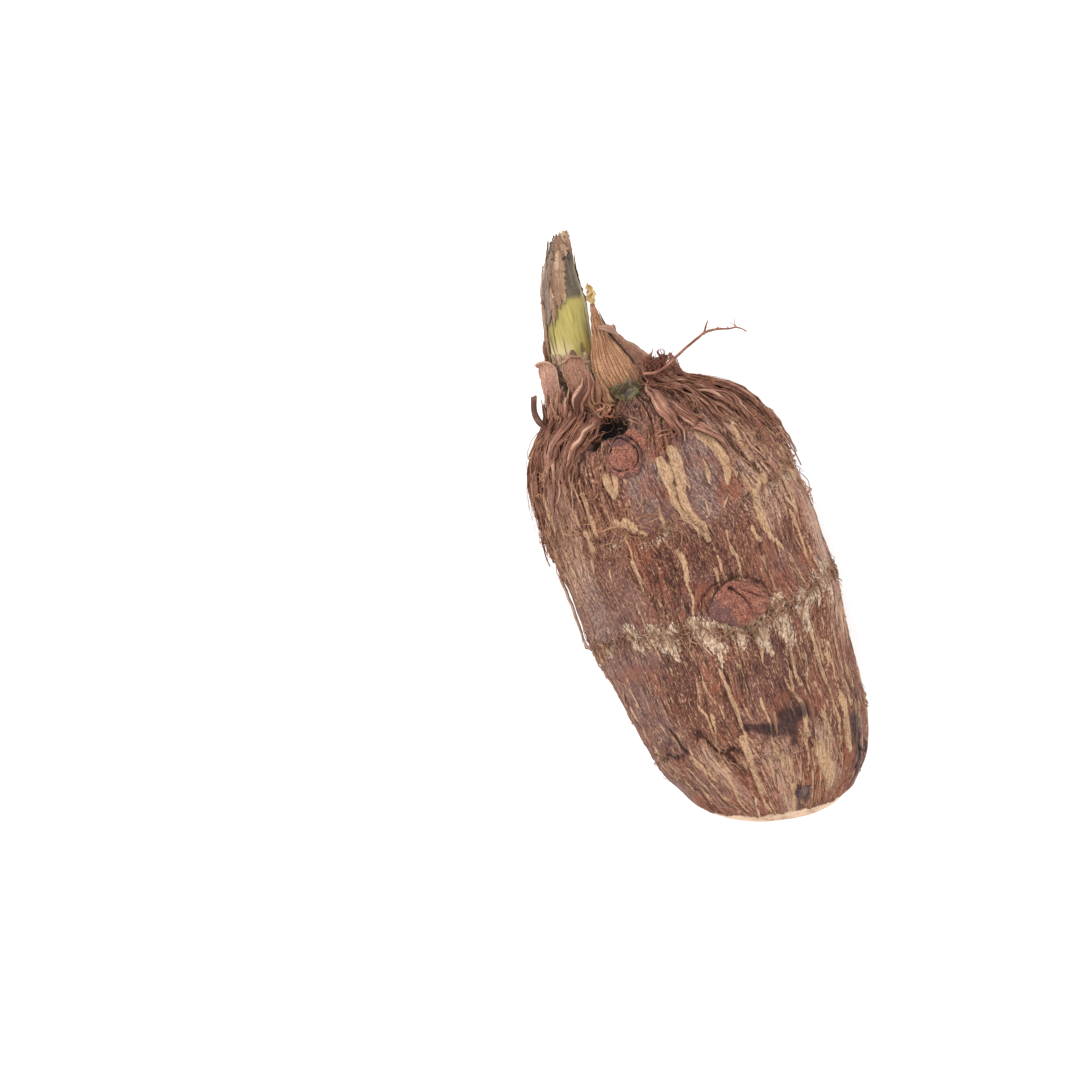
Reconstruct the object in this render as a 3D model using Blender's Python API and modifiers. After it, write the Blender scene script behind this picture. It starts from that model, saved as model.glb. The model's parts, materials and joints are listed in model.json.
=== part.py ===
"""A taro root: the corm of a taro plant with its leaf stalk, dry leaf scales, buds, husk straps and rootlets.

It lies on its side. Metres, +Z up, +Y from the cut base towards the crown, +X to the
right of the crown seen from above. The origin is in the middle of the flat that the corm lies on.
Sizes below are in millimetres, and MM turns them into metres.

Run with: blender --background --python part.py
"""

import math

import bmesh
import bpy
from mathutils import Vector, noise

MM = 0.001
GAP = 0.35  # clearance between neighbouring pieces

# The corm, from the pole under its base to the pole of its crown: y, half width, middle x, middle z.
CORM_STATIONS = (
    (-71.2, 0.0, 1.8, 23.5),
    (-69.4, 9.0, 1.8, 23.5),
    (-64.6, 16.6, 1.7, 23.3),
    (-57.0, 22.8, 1.9, 23.2),
    (-45.0, 27.3, 0.3, 23.8),
    (-27.0, 29.8, -0.6, 26.0),
    (-7.0, 31.6, -0.7, 27.4),
    (12.0, 32.2, -2.0, 28.0),
    (25.0, 31.2, -3.2, 27.5),
    (36.0, 26.4, -4.6, 27.6),
    (43.0, 17.6, -5.8, 28.0),
    (46.4, 8.5, -6.6, 28.2),
    (47.2, 0.0, -7.0, 28.2),
)
DEPTH_SHARE = 0.9  # the corm's depth over its width
CORM_SIDES = 56
CORM_RINGS = 48
LUMPS = ((0.040, 0.9), (0.110, 0.4))  # noise frequency per mm, height in mm
# Leaf scars, the raised rings round the corm: y, height, half width along the corm and how far they wander.
LEAF_SCARS = (
    (30.0, 0.5, 2.2, 1.5),
    (9.0, 0.8, 2.4, 2.0),
    (-15.5, 0.9, 2.0, 1.0),
    (-46.0, 0.6, 2.2, 1.6),
    (-59.0, 0.4, 2.2, 1.2),
)
RIBS = ((11, 0.22, 0.6), (17, 0.16, 2.1))  # shallow ribs along the corm: how many, height and phase
CROWN_HOLLOW = (110.0, 40.0, 6.0, 2.6)  # angle and y of its middle, radius and depth
BASE_CUT_POINT = (-1.5, -66.2, 23.0)
BASE_CUT_NORMAL = (-0.187, -0.965, -0.174)

# The leaf stalk: x, y, z and radius along its middle line.
STALK_LINE = (
    (-10.2, 42.0, 29.5, 5.4),
    (-12.8, 50.0, 30.0, 5.9),
    (-13.4, 58.0, 30.4, 5.7),
    (-12.5, 65.0, 30.7, 5.6),
    (-11.4, 70.5, 31.1, 5.4),
    (-10.7, 75.5, 31.5, 4.7),
    (-9.6, 80.0, 31.9, 3.7),
    (-8.2, 84.5, 32.4, 3.0),
    (-7.2, 88.2, 32.8, 2.3),
)

# Dry leaf scales. Each row, from the foot up, is y, left x, right x, left z, right z and how far the middle
# stands out from the line between the two edges.
SCALE_THICKNESS = 0.6
SCALE_CELLS = (5, 6)  # across and up
SCALE_ROWS = {
    "striped_scale": (
        (45.0, -8.8, -0.2, 40.2, 37.4, 1.8),
        (52.0, -9.8, -1.2, 38.5, 36.0, 2.2),
        (57.0, -9.0, -2.6, 37.4, 35.4, 1.8),
        (63.0, -7.4, -3.9, 36.2, 34.6, 1.0),
        (69.0, -5.6, -4.6, 34.6, 34.0, 0.2),
    ),
    "outer_scale": (
        (43.0, -0.6, 9.4, 35.4, 29.0, 2.4),
        (50.0, -1.0, 6.2, 34.2, 29.0, 2.4),
        (54.5, -2.4, 2.8, 33.4, 29.4, 2.0),
        (59.0, -3.8, -0.8, 33.2, 30.0, 1.2),
        (63.5, -5.0, -2.6, 33.0, 31.0, 0.6),
    ),
    "front_scale": (
        (42.0, -15.4, -9.4, 40.4, 42.6, 1.6),
        (50.0, -17.0, -10.8, 37.8, 40.4, 1.8),
        (54.5, -17.2, -11.2, 37.2, 39.6, 1.6),
        (58.0, -16.6, -12.6, 37.6, 38.8, 1.2),
    ),
    "left_scale": (
        (42.0, -24.4, -19.6, 29.0, 37.6, 2.0),
        (50.0, -22.8, -18.8, 29.2, 36.8, 2.0),
        (55.0, -22.6, -18.2, 29.2, 36.4, 1.8),
        (60.0, -21.8, -17.6, 29.6, 35.8, 1.4),
    ),
    "back_scale": (
        (42.0, -21.5, -7.0, 24.0, 22.4, -2.4),
        (52.0, -21.3, -7.6, 24.6, 22.6, -2.4),
        (60.0, -20.4, -9.5, 25.6, 23.2, -2.0),
        (67.2, -18.6, -13.0, 26.8, 24.4, -1.2),
    ),
    "side_scale": (
        (42.0, -4.4, 7.0, 21.0, 24.6, -1.8),
        (49.5, -4.8, 4.2, 21.2, 24.8, -1.6),
        (56.0, -4.9, 0.6, 22.0, 25.4, -1.0),
    ),
    "green_scale": (
        (43.4, -6.6, -2.4, 42.8, 41.6, 1.0),
        (46.0, -8.4, -0.2, 42.0, 40.4, 1.4),
        (48.8, -8.0, 0.4, 41.6, 39.6, 1.2),
    ),
}
REMNANT_LINE = ((-4.9, 69.8, 34.0, 0.8), (-4.4, 71.6, 34.1, 1.1), (-4.2, 74.0, 34.2, 0.4))

# Buds: angle round the corm and y of the middle, then half sizes round, along and out from the skin.
BUDS = {
    "upper_bud": (101.0, 30.4, 4.4, 4.2, 3.0),
    "middle_bud": (82.0, -12.6, 5.4, 5.0, 3.2),
    "left_bud": (214.0, 21.0, 5.0, 4.2, 3.0),
    "right_bud": (326.0, -38.0, 5.0, 4.2, 3.0),
}
# The scale that grows round the upper side of a bud: how far it is shifted round and along, and its rim.
BUD_SCALES = {
    "upper_bud": (0.9, 1.0, 1.9),
    "middle_bud": (0.6, 1.0, 1.8),
    "left_bud": (0.0, 1.0, 1.8),
    "right_bud": (0.0, 1.0, 1.8),
}
BUD_SCALE_DROP = 0.2  # how much lower than its bud a bud scale stands
BUD_SEGMENTS = 16
BUD_RINGS = 10

# Husk straps, torn leaf bases that hang from the collar round the scales and lie over the shoulder:
# angle at the collar and at the end, and the end's y.
STRAPS = (
    (106.0, 124.0, 33.0),
    (118.0, 135.0, 28.0),
    (130.0, 146.0, 25.0),
    (142.0, 156.0, 23.0),
    (154.0, 167.0, 24.0),
    (174.0, 179.0, 26.0),
    (78.0, 70.0, 33.0),
    (56.0, 48.0, 28.0),
    (20.0, 29.0, 24.0),
    (2.0, 10.0, 22.0),
    (348.0, 342.0, 27.0),
    (322.0, 314.0, 29.0),
    (290.0, 288.0, 32.0),
    (254.0, 248.0, 31.0),
    (222.0, 226.0, 32.0),
    (196.0, 194.0, 26.0),
)
STRAP_HALF_WIDTH = 1.4
STRAP_THICKNESS = 0.5
STRAP_TAPER = 0.7  # how much of its width a strap loses by its end
STRAP_LIFTS = ((41.0, 2.9), (36.5, 1.9))  # y and height over the skin where a strap rounds the shoulder
STRAP_LOW_LIFT = 1.5  # height over the skin half way from there to the end
STRAP_END_LIFT = 1.1
STRAP_CELLS = (2, 11)  # across and along
COLLAR_MIDDLE = (-8.4, 49.0, 30.2)
COLLAR_HALF_WIDTH = 17.6
COLLAR_HEIGHTS = (15.6, 11.2)  # above and below its middle
STUB_LINE = (
    (-26.0, 46.2, 34.2, 0.9),
    (-27.4, 47.6, 34.4, 1.1),
    (-26.6, 49.6, 34.6, 0.9),
    (-25.8, 51.4, 34.8, 1.0),
)

# Rootlets: x, y, z and radius.
LONG_ROOTLET = (
    (0.6, 47.9, 46.0, 0.45),
    (4.0, 47.2, 45.4, 0.45),
    (7.4, 48.2, 44.0, 0.45),
    (10.0, 49.4, 42.4, 0.45),
    (13.8, 51.0, 40.6, 0.42),
    (17.4, 52.4, 40.4, 0.4),
    (19.6, 52.9, 40.4, 0.38),
    (21.8, 52.7, 40.4, 0.34),
    (24.2, 51.9, 40.4, 0.32),
    (26.8, 51.4, 40.4, 0.3),
    (28.6, 49.7, 40.4, 0.25),
)
ROOTLET_FORK = ((18.4, 52.7, 40.4, 0.32), (19.3, 54.2, 40.5, 0.3), (20.4, 55.4, 40.6, 0.26))
# Angle round the corm and y of the rootlet along its left edge.
EDGE_ROOTLET = ((174.0, 5.0), (178.0, -2.0), (177.0, -10.0), (171.0, -18.0))
EDGE_ROOTLET_LIFT = 1.4
EDGE_ROOTLET_RADIUS = 0.4
ROOT_TUFT_MIDDLE = (4.6, 48.6, 38.6)
ROOT_TUFT_HALF_SIZES = (3.0, 2.6, 2.2)
CURL_MIDDLE = (-9.8, 43.6, 46.4)
CURL_TURNS = 1.75
CURL_RADII = (1.0, 1.7)
CURL_RISE = 1.6
CURL_WIRE = 0.32
CURL_POINTS = 22


def smooth_between(stations, t):
    """The point at t, from 0 to 1, of a smooth curve through the stations."""
    place = min(max(t, 0.0), 1.0) * (len(stations) - 1)
    k = min(int(place), len(stations) - 2)
    f = place - k
    a = stations[max(k - 1, 0)]
    b, c = stations[k], stations[k + 1]
    d = stations[min(k + 2, len(stations) - 1)]
    return tuple(
        q + 0.5 * f * (r - p + f * (2 * p - 5 * q + 4 * r - s + f * (3 * (q - r) + s - p)))
        for p, q, r, s in zip(a, b, c, d)
    )


def corm_station(t):
    """y, half width, middle x and middle z of the corm at t, from 0 at the base pole to 1 at the crown pole."""
    first, last = CORM_STATIONS[1], CORM_STATIONS[-2]
    # A mirrored station past each pole rounds the end off.
    before = (first[0], -first[1], first[2], first[3])
    after = (last[0], -last[1], last[2], last[3])
    count = len(CORM_STATIONS)
    return smooth_between((before, *CORM_STATIONS, after), (1 + t * (count - 1)) / (count + 1))


def skin_relief(angle, point):
    """How far lumps, leaf scars and ribs raise the skin at an angle, near a point."""
    around = math.radians(angle)
    relief = sum(height * noise.noise(point * frequency) for frequency, height in LUMPS)
    for scar_y, height, half_width, wander in LEAF_SCARS:
        middle = scar_y + wander * math.sin(2.0 * around + scar_y)
        relief += height * math.exp(-(((point.y - middle) / half_width) ** 2))
    taper = math.sin(math.pi * corm_share(point.y))
    return relief + taper * sum(height * math.cos(n * around + phase) for n, height, phase in RIBS)


def corm_share(y):
    """How far y is, from 0 to 1, between the corm's two poles."""
    low, high = CORM_STATIONS[0][0], CORM_STATIONS[-1][0]
    return min(max((y - low) / (high - low), 0.0), 1.0)


def hollow_depth(angle, y):
    """How deep the hollow at the foot of the leaf scales is at an angle and y."""
    hollow_angle, hollow_y, radius, depth = CROWN_HOLLOW
    half = corm_station(corm_t_at(hollow_y))[1]
    round_it = math.radians(angle - hollow_angle) * half
    return depth * math.exp(-0.5 * (round_it**2 + (y - hollow_y) ** 2) / (0.5 * radius) ** 2)


def corm_point(angle, t, lift=0.0):
    """A point of the corm's skin in millimetres, lift away from it. Angle 0 faces +X and 90 faces up."""
    y, half, middle_x, middle_z = corm_station(t)
    across = Vector((math.cos(math.radians(angle)), 0.0, math.sin(math.radians(angle))))
    shape = Vector((half, 1.0, half * DEPTH_SHARE))
    point = Vector((middle_x + across.x * shape.x, y, middle_z + across.z * shape.z))
    step = 0.004
    ahead, behind = corm_station(min(t + step, 1.0)), corm_station(max(t - step, 0.0))
    slope = Vector((ahead[0] - behind[0], behind[1] - ahead[1])).normalized()
    outward = Vector((across.x * DEPTH_SHARE * slope.x, slope.y, across.z * slope.x)).normalized()
    return point + outward * (lift + skin_relief(angle, point))


def corm_t_at(y):
    """How far along the corm, from 0 to 1, its skin reaches y."""
    low, high = 0.0, 1.0
    for _ in range(40):
        middle = 0.5 * (low + high)
        if corm_station(middle)[0] < y:
            low = middle
        else:
            high = middle
    return low


def material(name, colour, roughness):
    """A plain Principled material."""
    made = bpy.data.materials.new(name)
    made.use_nodes = True
    shader = made.node_tree.nodes["Principled BSDF"]
    shader.inputs["Base Color"].default_value = (*colour, 1.0)
    shader.inputs["Roughness"].default_value = roughness
    return made


def object_from_bmesh(name, bm, collection, finish):
    """Turns a bmesh, in millimetres, into a named object in metres."""
    bmesh.ops.scale(bm, vec=(MM, MM, MM), verts=bm.verts)
    bmesh.ops.recalc_face_normals(bm, faces=bm.faces)
    mesh = bpy.data.meshes.new(name)
    bm.to_mesh(mesh)
    bm.free()
    mesh.shade_smooth()
    made = bpy.data.objects.new(name, mesh)
    if finish:
        mesh.materials.append(finish)
    collection.objects.link(made)
    return made


def as_cutter(obj):
    """Keeps a helper out of the model and out of renders."""
    obj.hide_render = True
    obj.display_type = "WIRE"
    return obj


def cut_from(obj, cutter):
    """Takes the cutter's shape away from obj."""
    cut = obj.modifiers.new("cut_" + cutter.name, "BOOLEAN")
    cut.operation = "DIFFERENCE"
    cut.solver = "EXACT"
    cut.object = cutter


def slice_flat(bm, point, normal):
    """Cuts off what lies past the plane, and closes the cut with a flat face."""
    geometry = bm.verts[:] + bm.edges[:] + bm.faces[:]
    bmesh.ops.bisect_plane(
        bm, geom=geometry, dist=1e-5, plane_co=point, plane_no=normal, clear_outer=True
    )
    rim = [edge for edge in bm.edges if edge.is_boundary]
    bmesh.ops.edgeloop_fill(bm, edges=rim)


def corm_bmesh(lift):
    """The corm's closed shape, before its flats are cut, with its skin moved out by lift."""
    bm = bmesh.new()
    bmesh.ops.create_uvsphere(bm, u_segments=CORM_SIDES, v_segments=CORM_RINGS, radius=1.0)
    for vertex in bm.verts:
        angle = math.degrees(math.atan2(vertex.co.y, vertex.co.x))
        t = 1.0 - math.acos(max(-1.0, min(1.0, vertex.co.z))) / math.pi
        angle %= 360.0
        vertex.co = corm_point(angle, t, lift - hollow_depth(angle, corm_station(t)[0]))
    return bm


def make_corm(collection, finish):
    """The corm, with its cut base and the flat that it lies on."""
    bm = corm_bmesh(0.0)
    slice_flat(bm, BASE_CUT_POINT, BASE_CUT_NORMAL)
    slice_flat(bm, (0.0, 0.0, 0.0), (0.0, 0.0, -1.0))
    corm = object_from_bmesh("corm", bm, collection, finish)
    corm.data.set_sharp_from_angle(angle=math.radians(30))
    return corm


def tube_curve(name, points, collection, finish, sides_step=1):
    """A tube through points of x, y, z and radius, as a curve with filled caps."""
    curve = bpy.data.curves.new(name, "CURVE")
    curve.dimensions = "3D"
    curve.bevel_depth = MM
    curve.bevel_resolution = sides_step
    curve.use_fill_caps = True
    curve.use_radius = True
    spline = curve.splines.new("POLY")
    spline.points.add(len(points) - 1)
    for spot, (x, y, z, radius) in zip(spline.points, points):
        spot.co = (x * MM, y * MM, z * MM, 1.0)
        spot.radius = radius
    curve.materials.append(finish)
    made = bpy.data.objects.new(name, curve)
    collection.objects.link(made)
    return made


def curve_to_mesh(obj, collection):
    """The same tube as a closed mesh object, so that it can be cut or joined."""
    graph = bpy.context.evaluated_depsgraph_get()
    mesh = bpy.data.meshes.new_from_object(obj.evaluated_get(graph))
    bm = bmesh.new()
    bm.from_mesh(mesh)
    bmesh.ops.remove_doubles(bm, verts=bm.verts, dist=1e-6)
    bm.to_mesh(mesh)
    bm.free()
    name, place = obj.name, obj.matrix_world.copy()
    bpy.data.objects.remove(obj)
    made = bpy.data.objects.new(name, mesh)
    made.matrix_world = place
    collection.objects.link(made)
    return made


def along(stations, count):
    """That many evenly counted points of the smooth curve through the stations."""
    return [smooth_between(stations, k / (count - 1)) for k in range(count)]


def make_stalk(collection, finish, crown_cutter):
    """The cut-back leaf stalk that stands in the crown."""
    tube = tube_curve("leaf_stalk", along(STALK_LINE, 13), collection, finish, sides_step=5)
    stalk = curve_to_mesh(tube, collection)
    cut_from(stalk, crown_cutter)
    stalk.data.shade_smooth()
    return stalk


def make_scale(name, rows, collection, finish, crown_cutter):
    """One dry leaf scale: a curved sheet between two edges, thickened, with its foot cut to the crown."""
    across, up = SCALE_CELLS
    bm = bmesh.new()
    bmesh.ops.create_grid(bm, x_segments=across, y_segments=up, size=1.0)
    for vertex in bm.verts:
        side = 0.5 + 0.5 * vertex.co.x
        y, left_x, right_x, left_z, right_z, out = smooth_between(rows, 0.5 + 0.5 * vertex.co.y)
        chord = Vector((right_x - left_x, 0.0, right_z - left_z))
        outward = Vector((-chord.z, 0.0, chord.x)).normalized()
        edge = Vector((left_x, y, left_z))
        vertex.co = edge + chord * side + outward * out * math.sin(math.pi * side)
    scale = object_from_bmesh(name, bm, collection, finish)
    shell = scale.modifiers.new("thickness", "SOLIDIFY")
    shell.thickness = SCALE_THICKNESS * MM
    shell.offset = 0.0
    cut_from(scale, crown_cutter)
    return scale


def dome(name, middle, frame, half_sizes, collection, finish=None):
    """An ellipsoid at middle, its half sizes along the three directions of frame."""
    bm = bmesh.new()
    bmesh.ops.create_uvsphere(bm, u_segments=BUD_SEGMENTS, v_segments=BUD_RINGS, radius=1.0)
    for vertex in bm.verts:
        local = vertex.co.copy()
        vertex.co = middle + sum(
            (axis * size * part for axis, size, part in zip(frame, half_sizes, local)), Vector()
        )
    return object_from_bmesh(name, bm, collection, finish)


def skin_frame(angle, y):
    """The skin's point at an angle and y, and the directions round it, along it and out of it."""
    t = corm_t_at(y)
    middle = corm_point(angle, t)
    round_it = (corm_point(angle - 1.0, t) - corm_point(angle + 1.0, t)).normalized()
    along_it = (corm_point(angle, t + 0.005) - corm_point(angle, t - 0.005)).normalized()
    return middle, (round_it, along_it, round_it.cross(along_it).normalized())


def make_bud(name, spec, scale_spec, collection, cutters, finishes, skin_cutter):
    """A bud and the scale that grows round its upper side, both seated on the skin."""
    angle, y, half_round, half_along, height = spec
    shift_round, shift_along, rim = scale_spec
    middle, frame = skin_frame(angle, y)
    bud = dome(name, middle, frame, (half_round, half_along, height), collection, finishes["bud"])
    cut_from(bud, skin_cutter)
    grown = (half_round + GAP, half_along + GAP, height + GAP)
    room = as_cutter(dome(name + "_room", middle, frame, grown, cutters))
    scale_middle = middle + frame[0] * shift_round + frame[1] * shift_along
    wide = (half_round + rim, half_along + rim, height - BUD_SCALE_DROP)
    scale = dome(name + "_scale", scale_middle, frame, wide, collection, finishes["bud_scale"])
    cut_from(scale, room)
    cut_from(scale, skin_cutter)


def strap_line(collar_angle, end_angle, end_y):
    """A strap's stations, x, y, z, half width and angle, from the collar over the shoulder to its end."""
    around = math.radians(collar_angle)
    middle_x, collar_y, middle_z = COLLAR_MIDDLE
    height = COLLAR_HEIGHTS[0 if collar_angle < 180.0 else 1]
    collar_x = middle_x + COLLAR_HALF_WIDTH * math.cos(around)
    collar = (collar_x, collar_y, middle_z + height * math.sin(around))
    stations = [(*collar, STRAP_HALF_WIDTH, collar_angle)]
    low_y = 0.5 * (STRAP_LIFTS[-1][0] + end_y)
    lifts = (*STRAP_LIFTS, (low_y, STRAP_LOW_LIFT), (end_y, STRAP_END_LIFT))
    for k, (y, lift) in enumerate(lifts, start=1):
        share = k / len(lifts)
        angle = collar_angle + share * (end_angle - collar_angle)
        half_width = STRAP_HALF_WIDTH * (1.0 - STRAP_TAPER * share)
        stations.append((*corm_point(angle, corm_t_at(y), lift), half_width, angle))
    return stations


def make_strap(number, spec, collection, finish):
    """One husk strap: a flat strip just clear of the skin."""
    across, lengthwise = STRAP_CELLS
    stations = strap_line(*spec)
    bm = bmesh.new()
    bmesh.ops.create_grid(bm, x_segments=across, y_segments=lengthwise, size=1.0)
    for vertex in bm.verts:
        x, y, z, half_width, angle = smooth_between(stations, 0.5 + 0.5 * vertex.co.y)
        around = math.radians(angle)
        side = Vector((-math.sin(around), 0.0, math.cos(around)))
        vertex.co = Vector((x, y, z)) + side * half_width * vertex.co.x
    strap = object_from_bmesh(f"husk_strap_{number:02d}", bm, collection, finish)
    shell = strap.modifiers.new("thickness", "SOLIDIFY")
    shell.thickness = STRAP_THICKNESS * MM
    shell.offset = 0.0


def make_rootlets(collection, cutters, finish):
    """The long forked rootlet at the crown, and the one along the corm's left edge."""
    root = curve_to_mesh(
        tube_curve("long_rootlet", along(LONG_ROOTLET, 20), collection, finish), collection
    )
    fork = as_cutter(
        curve_to_mesh(tube_curve("rootlet_fork", along(ROOTLET_FORK, 5), cutters, finish), cutters)
    )
    join = root.modifiers.new("fork", "BOOLEAN")
    join.operation = "UNION"
    join.solver = "EXACT"
    join.object = fork
    edge = [
        (*corm_point(angle, corm_t_at(y), EDGE_ROOTLET_LIFT), EDGE_ROOTLET_RADIUS)
        for angle, y in EDGE_ROOTLET
    ]
    tube_curve("edge_rootlet", along(edge, 10), collection, finish)


def make_matted_roots(collection, finish):
    """The tuft of matted rootlets at the right of the crown, and the curl of root below the leaf scales."""
    axes = (Vector((1, 0, 0)), Vector((0, 1, 0)), Vector((0, 0, 1)))
    dome("root_tuft", Vector(ROOT_TUFT_MIDDLE), axes, ROOT_TUFT_HALF_SIZES, collection, finish)
    points = []
    for k in range(CURL_POINTS):
        share = k / (CURL_POINTS - 1)
        turn = 2.0 * math.pi * CURL_TURNS * share
        radius = CURL_RADII[0] + share * (CURL_RADII[1] - CURL_RADII[0])
        x, y, z = CURL_MIDDLE
        spot = (x + radius * math.cos(turn), y + radius * math.sin(turn), z + CURL_RISE * (share - 0.5))
        points.append((*spot, CURL_WIRE))
    tube_curve("root_curl", points, collection, finish)


def main():
    """Clears the scene and builds the taro root."""
    for obj in list(bpy.data.objects):
        bpy.data.objects.remove(obj)
    root = bpy.data.collections.new("taro_root")
    cutters = bpy.data.collections.new("cutters")
    for collection in (root, cutters):
        bpy.context.scene.collection.children.link(collection)
    finishes = {
        "skin": material("skin", (0.29, 0.15, 0.105), 0.85),
        "stalk": material("stalk", (0.36, 0.33, 0.10), 0.55),
        "scale": material("scale", (0.42, 0.21, 0.12), 0.75),
        "green": material("green", (0.12, 0.13, 0.05), 0.7),
        "bud": material("bud", (0.30, 0.13, 0.09), 0.8),
        "bud_scale": material("bud_scale", (0.33, 0.16, 0.11), 0.8),
        "husk": material("husk", (0.30, 0.14, 0.09), 0.8),
        "root": material("root", (0.32, 0.13, 0.08), 0.8),
        "remnant": material("remnant", (0.62, 0.45, 0.18), 0.7),
    }
    make_corm(root, finishes["skin"])
    skin_cutter = as_cutter(object_from_bmesh("skin_clearance", corm_bmesh(GAP), cutters, None))
    make_stalk(root, finishes["stalk"], skin_cutter)
    for name, rows in SCALE_ROWS.items():
        finish = finishes["green" if name == "green_scale" else "scale"]
        make_scale(name, rows, root, finish, skin_cutter)
    tube_curve("scale_remnant", along(REMNANT_LINE, 6), root, finishes["remnant"], sides_step=2)
    for name, spec in BUDS.items():
        make_bud(name, spec, BUD_SCALES[name], root, cutters, finishes, skin_cutter)
    for number, spec in enumerate(STRAPS, start=1):
        make_strap(number, spec, root, finishes["husk"])
    tube_curve("torn_stub", along(STUB_LINE, 8), root, finishes["husk"])
    make_rootlets(root, cutters, finishes["root"])
    make_matted_roots(root, finishes["root"])


if __name__ == "__main__":
    main()
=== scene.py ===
"""Dresses the taro root: fibrous skin, leaf stalk, dry leaf scales, buds, husk, rootlets and its stage.

Lengths are in millimetres unless a name says otherwise, and MM turns them into Blender's metres.
"""

import json
import logging
import math
from collections.abc import Sequence
from dataclasses import dataclass
from enum import Enum

import bmesh
import bpy
import numpy as np
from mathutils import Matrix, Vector
from mathutils.bvhtree import BVHTree


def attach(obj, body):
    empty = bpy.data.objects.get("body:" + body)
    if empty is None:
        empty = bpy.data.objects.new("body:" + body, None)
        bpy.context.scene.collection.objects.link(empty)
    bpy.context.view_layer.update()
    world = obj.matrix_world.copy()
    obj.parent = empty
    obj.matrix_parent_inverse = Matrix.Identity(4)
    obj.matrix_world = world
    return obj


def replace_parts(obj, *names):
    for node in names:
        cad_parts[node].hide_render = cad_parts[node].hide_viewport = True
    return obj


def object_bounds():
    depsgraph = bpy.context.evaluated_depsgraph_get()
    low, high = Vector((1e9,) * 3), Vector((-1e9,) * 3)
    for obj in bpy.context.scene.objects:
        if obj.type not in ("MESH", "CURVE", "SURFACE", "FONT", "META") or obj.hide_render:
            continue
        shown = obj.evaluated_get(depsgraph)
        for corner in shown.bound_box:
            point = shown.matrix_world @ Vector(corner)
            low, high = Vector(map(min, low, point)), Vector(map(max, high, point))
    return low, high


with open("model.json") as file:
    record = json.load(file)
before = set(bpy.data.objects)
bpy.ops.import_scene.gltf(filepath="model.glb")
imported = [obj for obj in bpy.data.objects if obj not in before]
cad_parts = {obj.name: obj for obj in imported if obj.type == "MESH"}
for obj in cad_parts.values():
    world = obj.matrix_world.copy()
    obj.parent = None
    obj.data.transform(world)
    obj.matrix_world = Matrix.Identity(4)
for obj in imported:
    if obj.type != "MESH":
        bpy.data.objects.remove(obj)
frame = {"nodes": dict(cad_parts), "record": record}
CAD_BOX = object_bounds()

MM = 0.001
ROOM = np.array(CAD_BOX) / MM + ((-1.4, -1.4, 0.15), (1.2, 1.2, 0.6))  # where fibres may go
BODY = "root"
PAINT = 0.70  # the studio is bright, so that its floor stays white: paint is this much darker than it looks
SPECULAR = 0.3
GRAIN_GAIN = 1.6  # brings the noise to about -1 to 1
MEAN_RADIUS = 30.0  # of the skin: turns its angles into lengths
FLOOR_GAP = 0.3  # how far strands stay above the floor
TONES = 3  # of each fibre
LOG = logging.getLogger("taro_root")

Array = np.ndarray
Colour = tuple[float, float, float]
Material = bpy.types.Material
Piece = bpy.types.Object
Rows = tuple[tuple[float, ...], ...]
Socket = bpy.types.NodeSocket


def rgb(red: int, green: int, blue: int) -> Colour:
    """The paint that looks like a display colour under the studio's light.

    Args:
        red: its red, from 0 to 255.
        green: its green.
        blue: its blue.

    Returns:
        The paint, as linear light.
    """
    return tuple(
        PAINT * (c / 12.92 if c <= 0.04045 else ((c + 0.055) / 1.055) ** 2.4)
        for c in (red / 255, green / 255, blue / 255)
    )


# ---- arrays, noise and paths


def joined(*parts: Array) -> Array:
    """Arrays side by side along a new last axis."""
    return np.stack(parts, -1)


def unit(ways: Array) -> Array:
    """The ways at length 1."""
    return ways / np.linalg.norm(ways, axis=-1, keepdims=True)


class Grain:
    """Smooth seeded gradient noise over arrays of points."""

    def __init__(self, seed: int) -> None:
        """Draws the lattice of slopes.

        Args:
            seed: what they are drawn from.
        """
        maker = np.random.default_rng(seed)
        self.order = maker.permutation(256)
        self.slopes = unit(maker.normal(size=(256, 3)))

    def at(self, place: Array) -> Array:
        """Noise from about -1 to 1.

        Args:
            place: points, with their three coordinates along the last axis.

        Returns:
            One number for each point.
        """
        cell = np.floor(place).astype(int)
        inside = place - cell
        fade = inside**3 * (inside * (inside * 6 - 15) + 10)
        total = np.zeros(place.shape[:-1])
        for corner in np.ndindex(2, 2, 2):
            key = np.zeros(place.shape[:-1], int)
            weight = np.ones(place.shape[:-1])
            for axis in range(3):
                key = self.order[(key + cell[..., axis] + corner[axis]) & 255]
                share = fade[..., axis]
                weight = weight * (share if corner[axis] else 1 - share)
            total += weight * ((inside - corner) * self.slopes[key]).sum(-1)
        return GRAIN_GAIN * total


def smooth(low: float, high: float, value: Array) -> Array:
    """Rises smoothly from 0 at low to 1 at high."""
    share = np.clip((value - low) / (high - low), 0.0, 1.0)
    return share * share * (3 - 2 * share)


def around_y(turn: Array, radius: float, y: Array) -> Array:
    """Points round the Y axis, from +X towards +Z."""
    return joined(radius * np.cos(turn), y, radius * np.sin(turn))


def shares(count: int) -> Array:
    """Evenly spaced shares from 0 to 1."""
    return np.linspace(0, 1, count)


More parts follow.
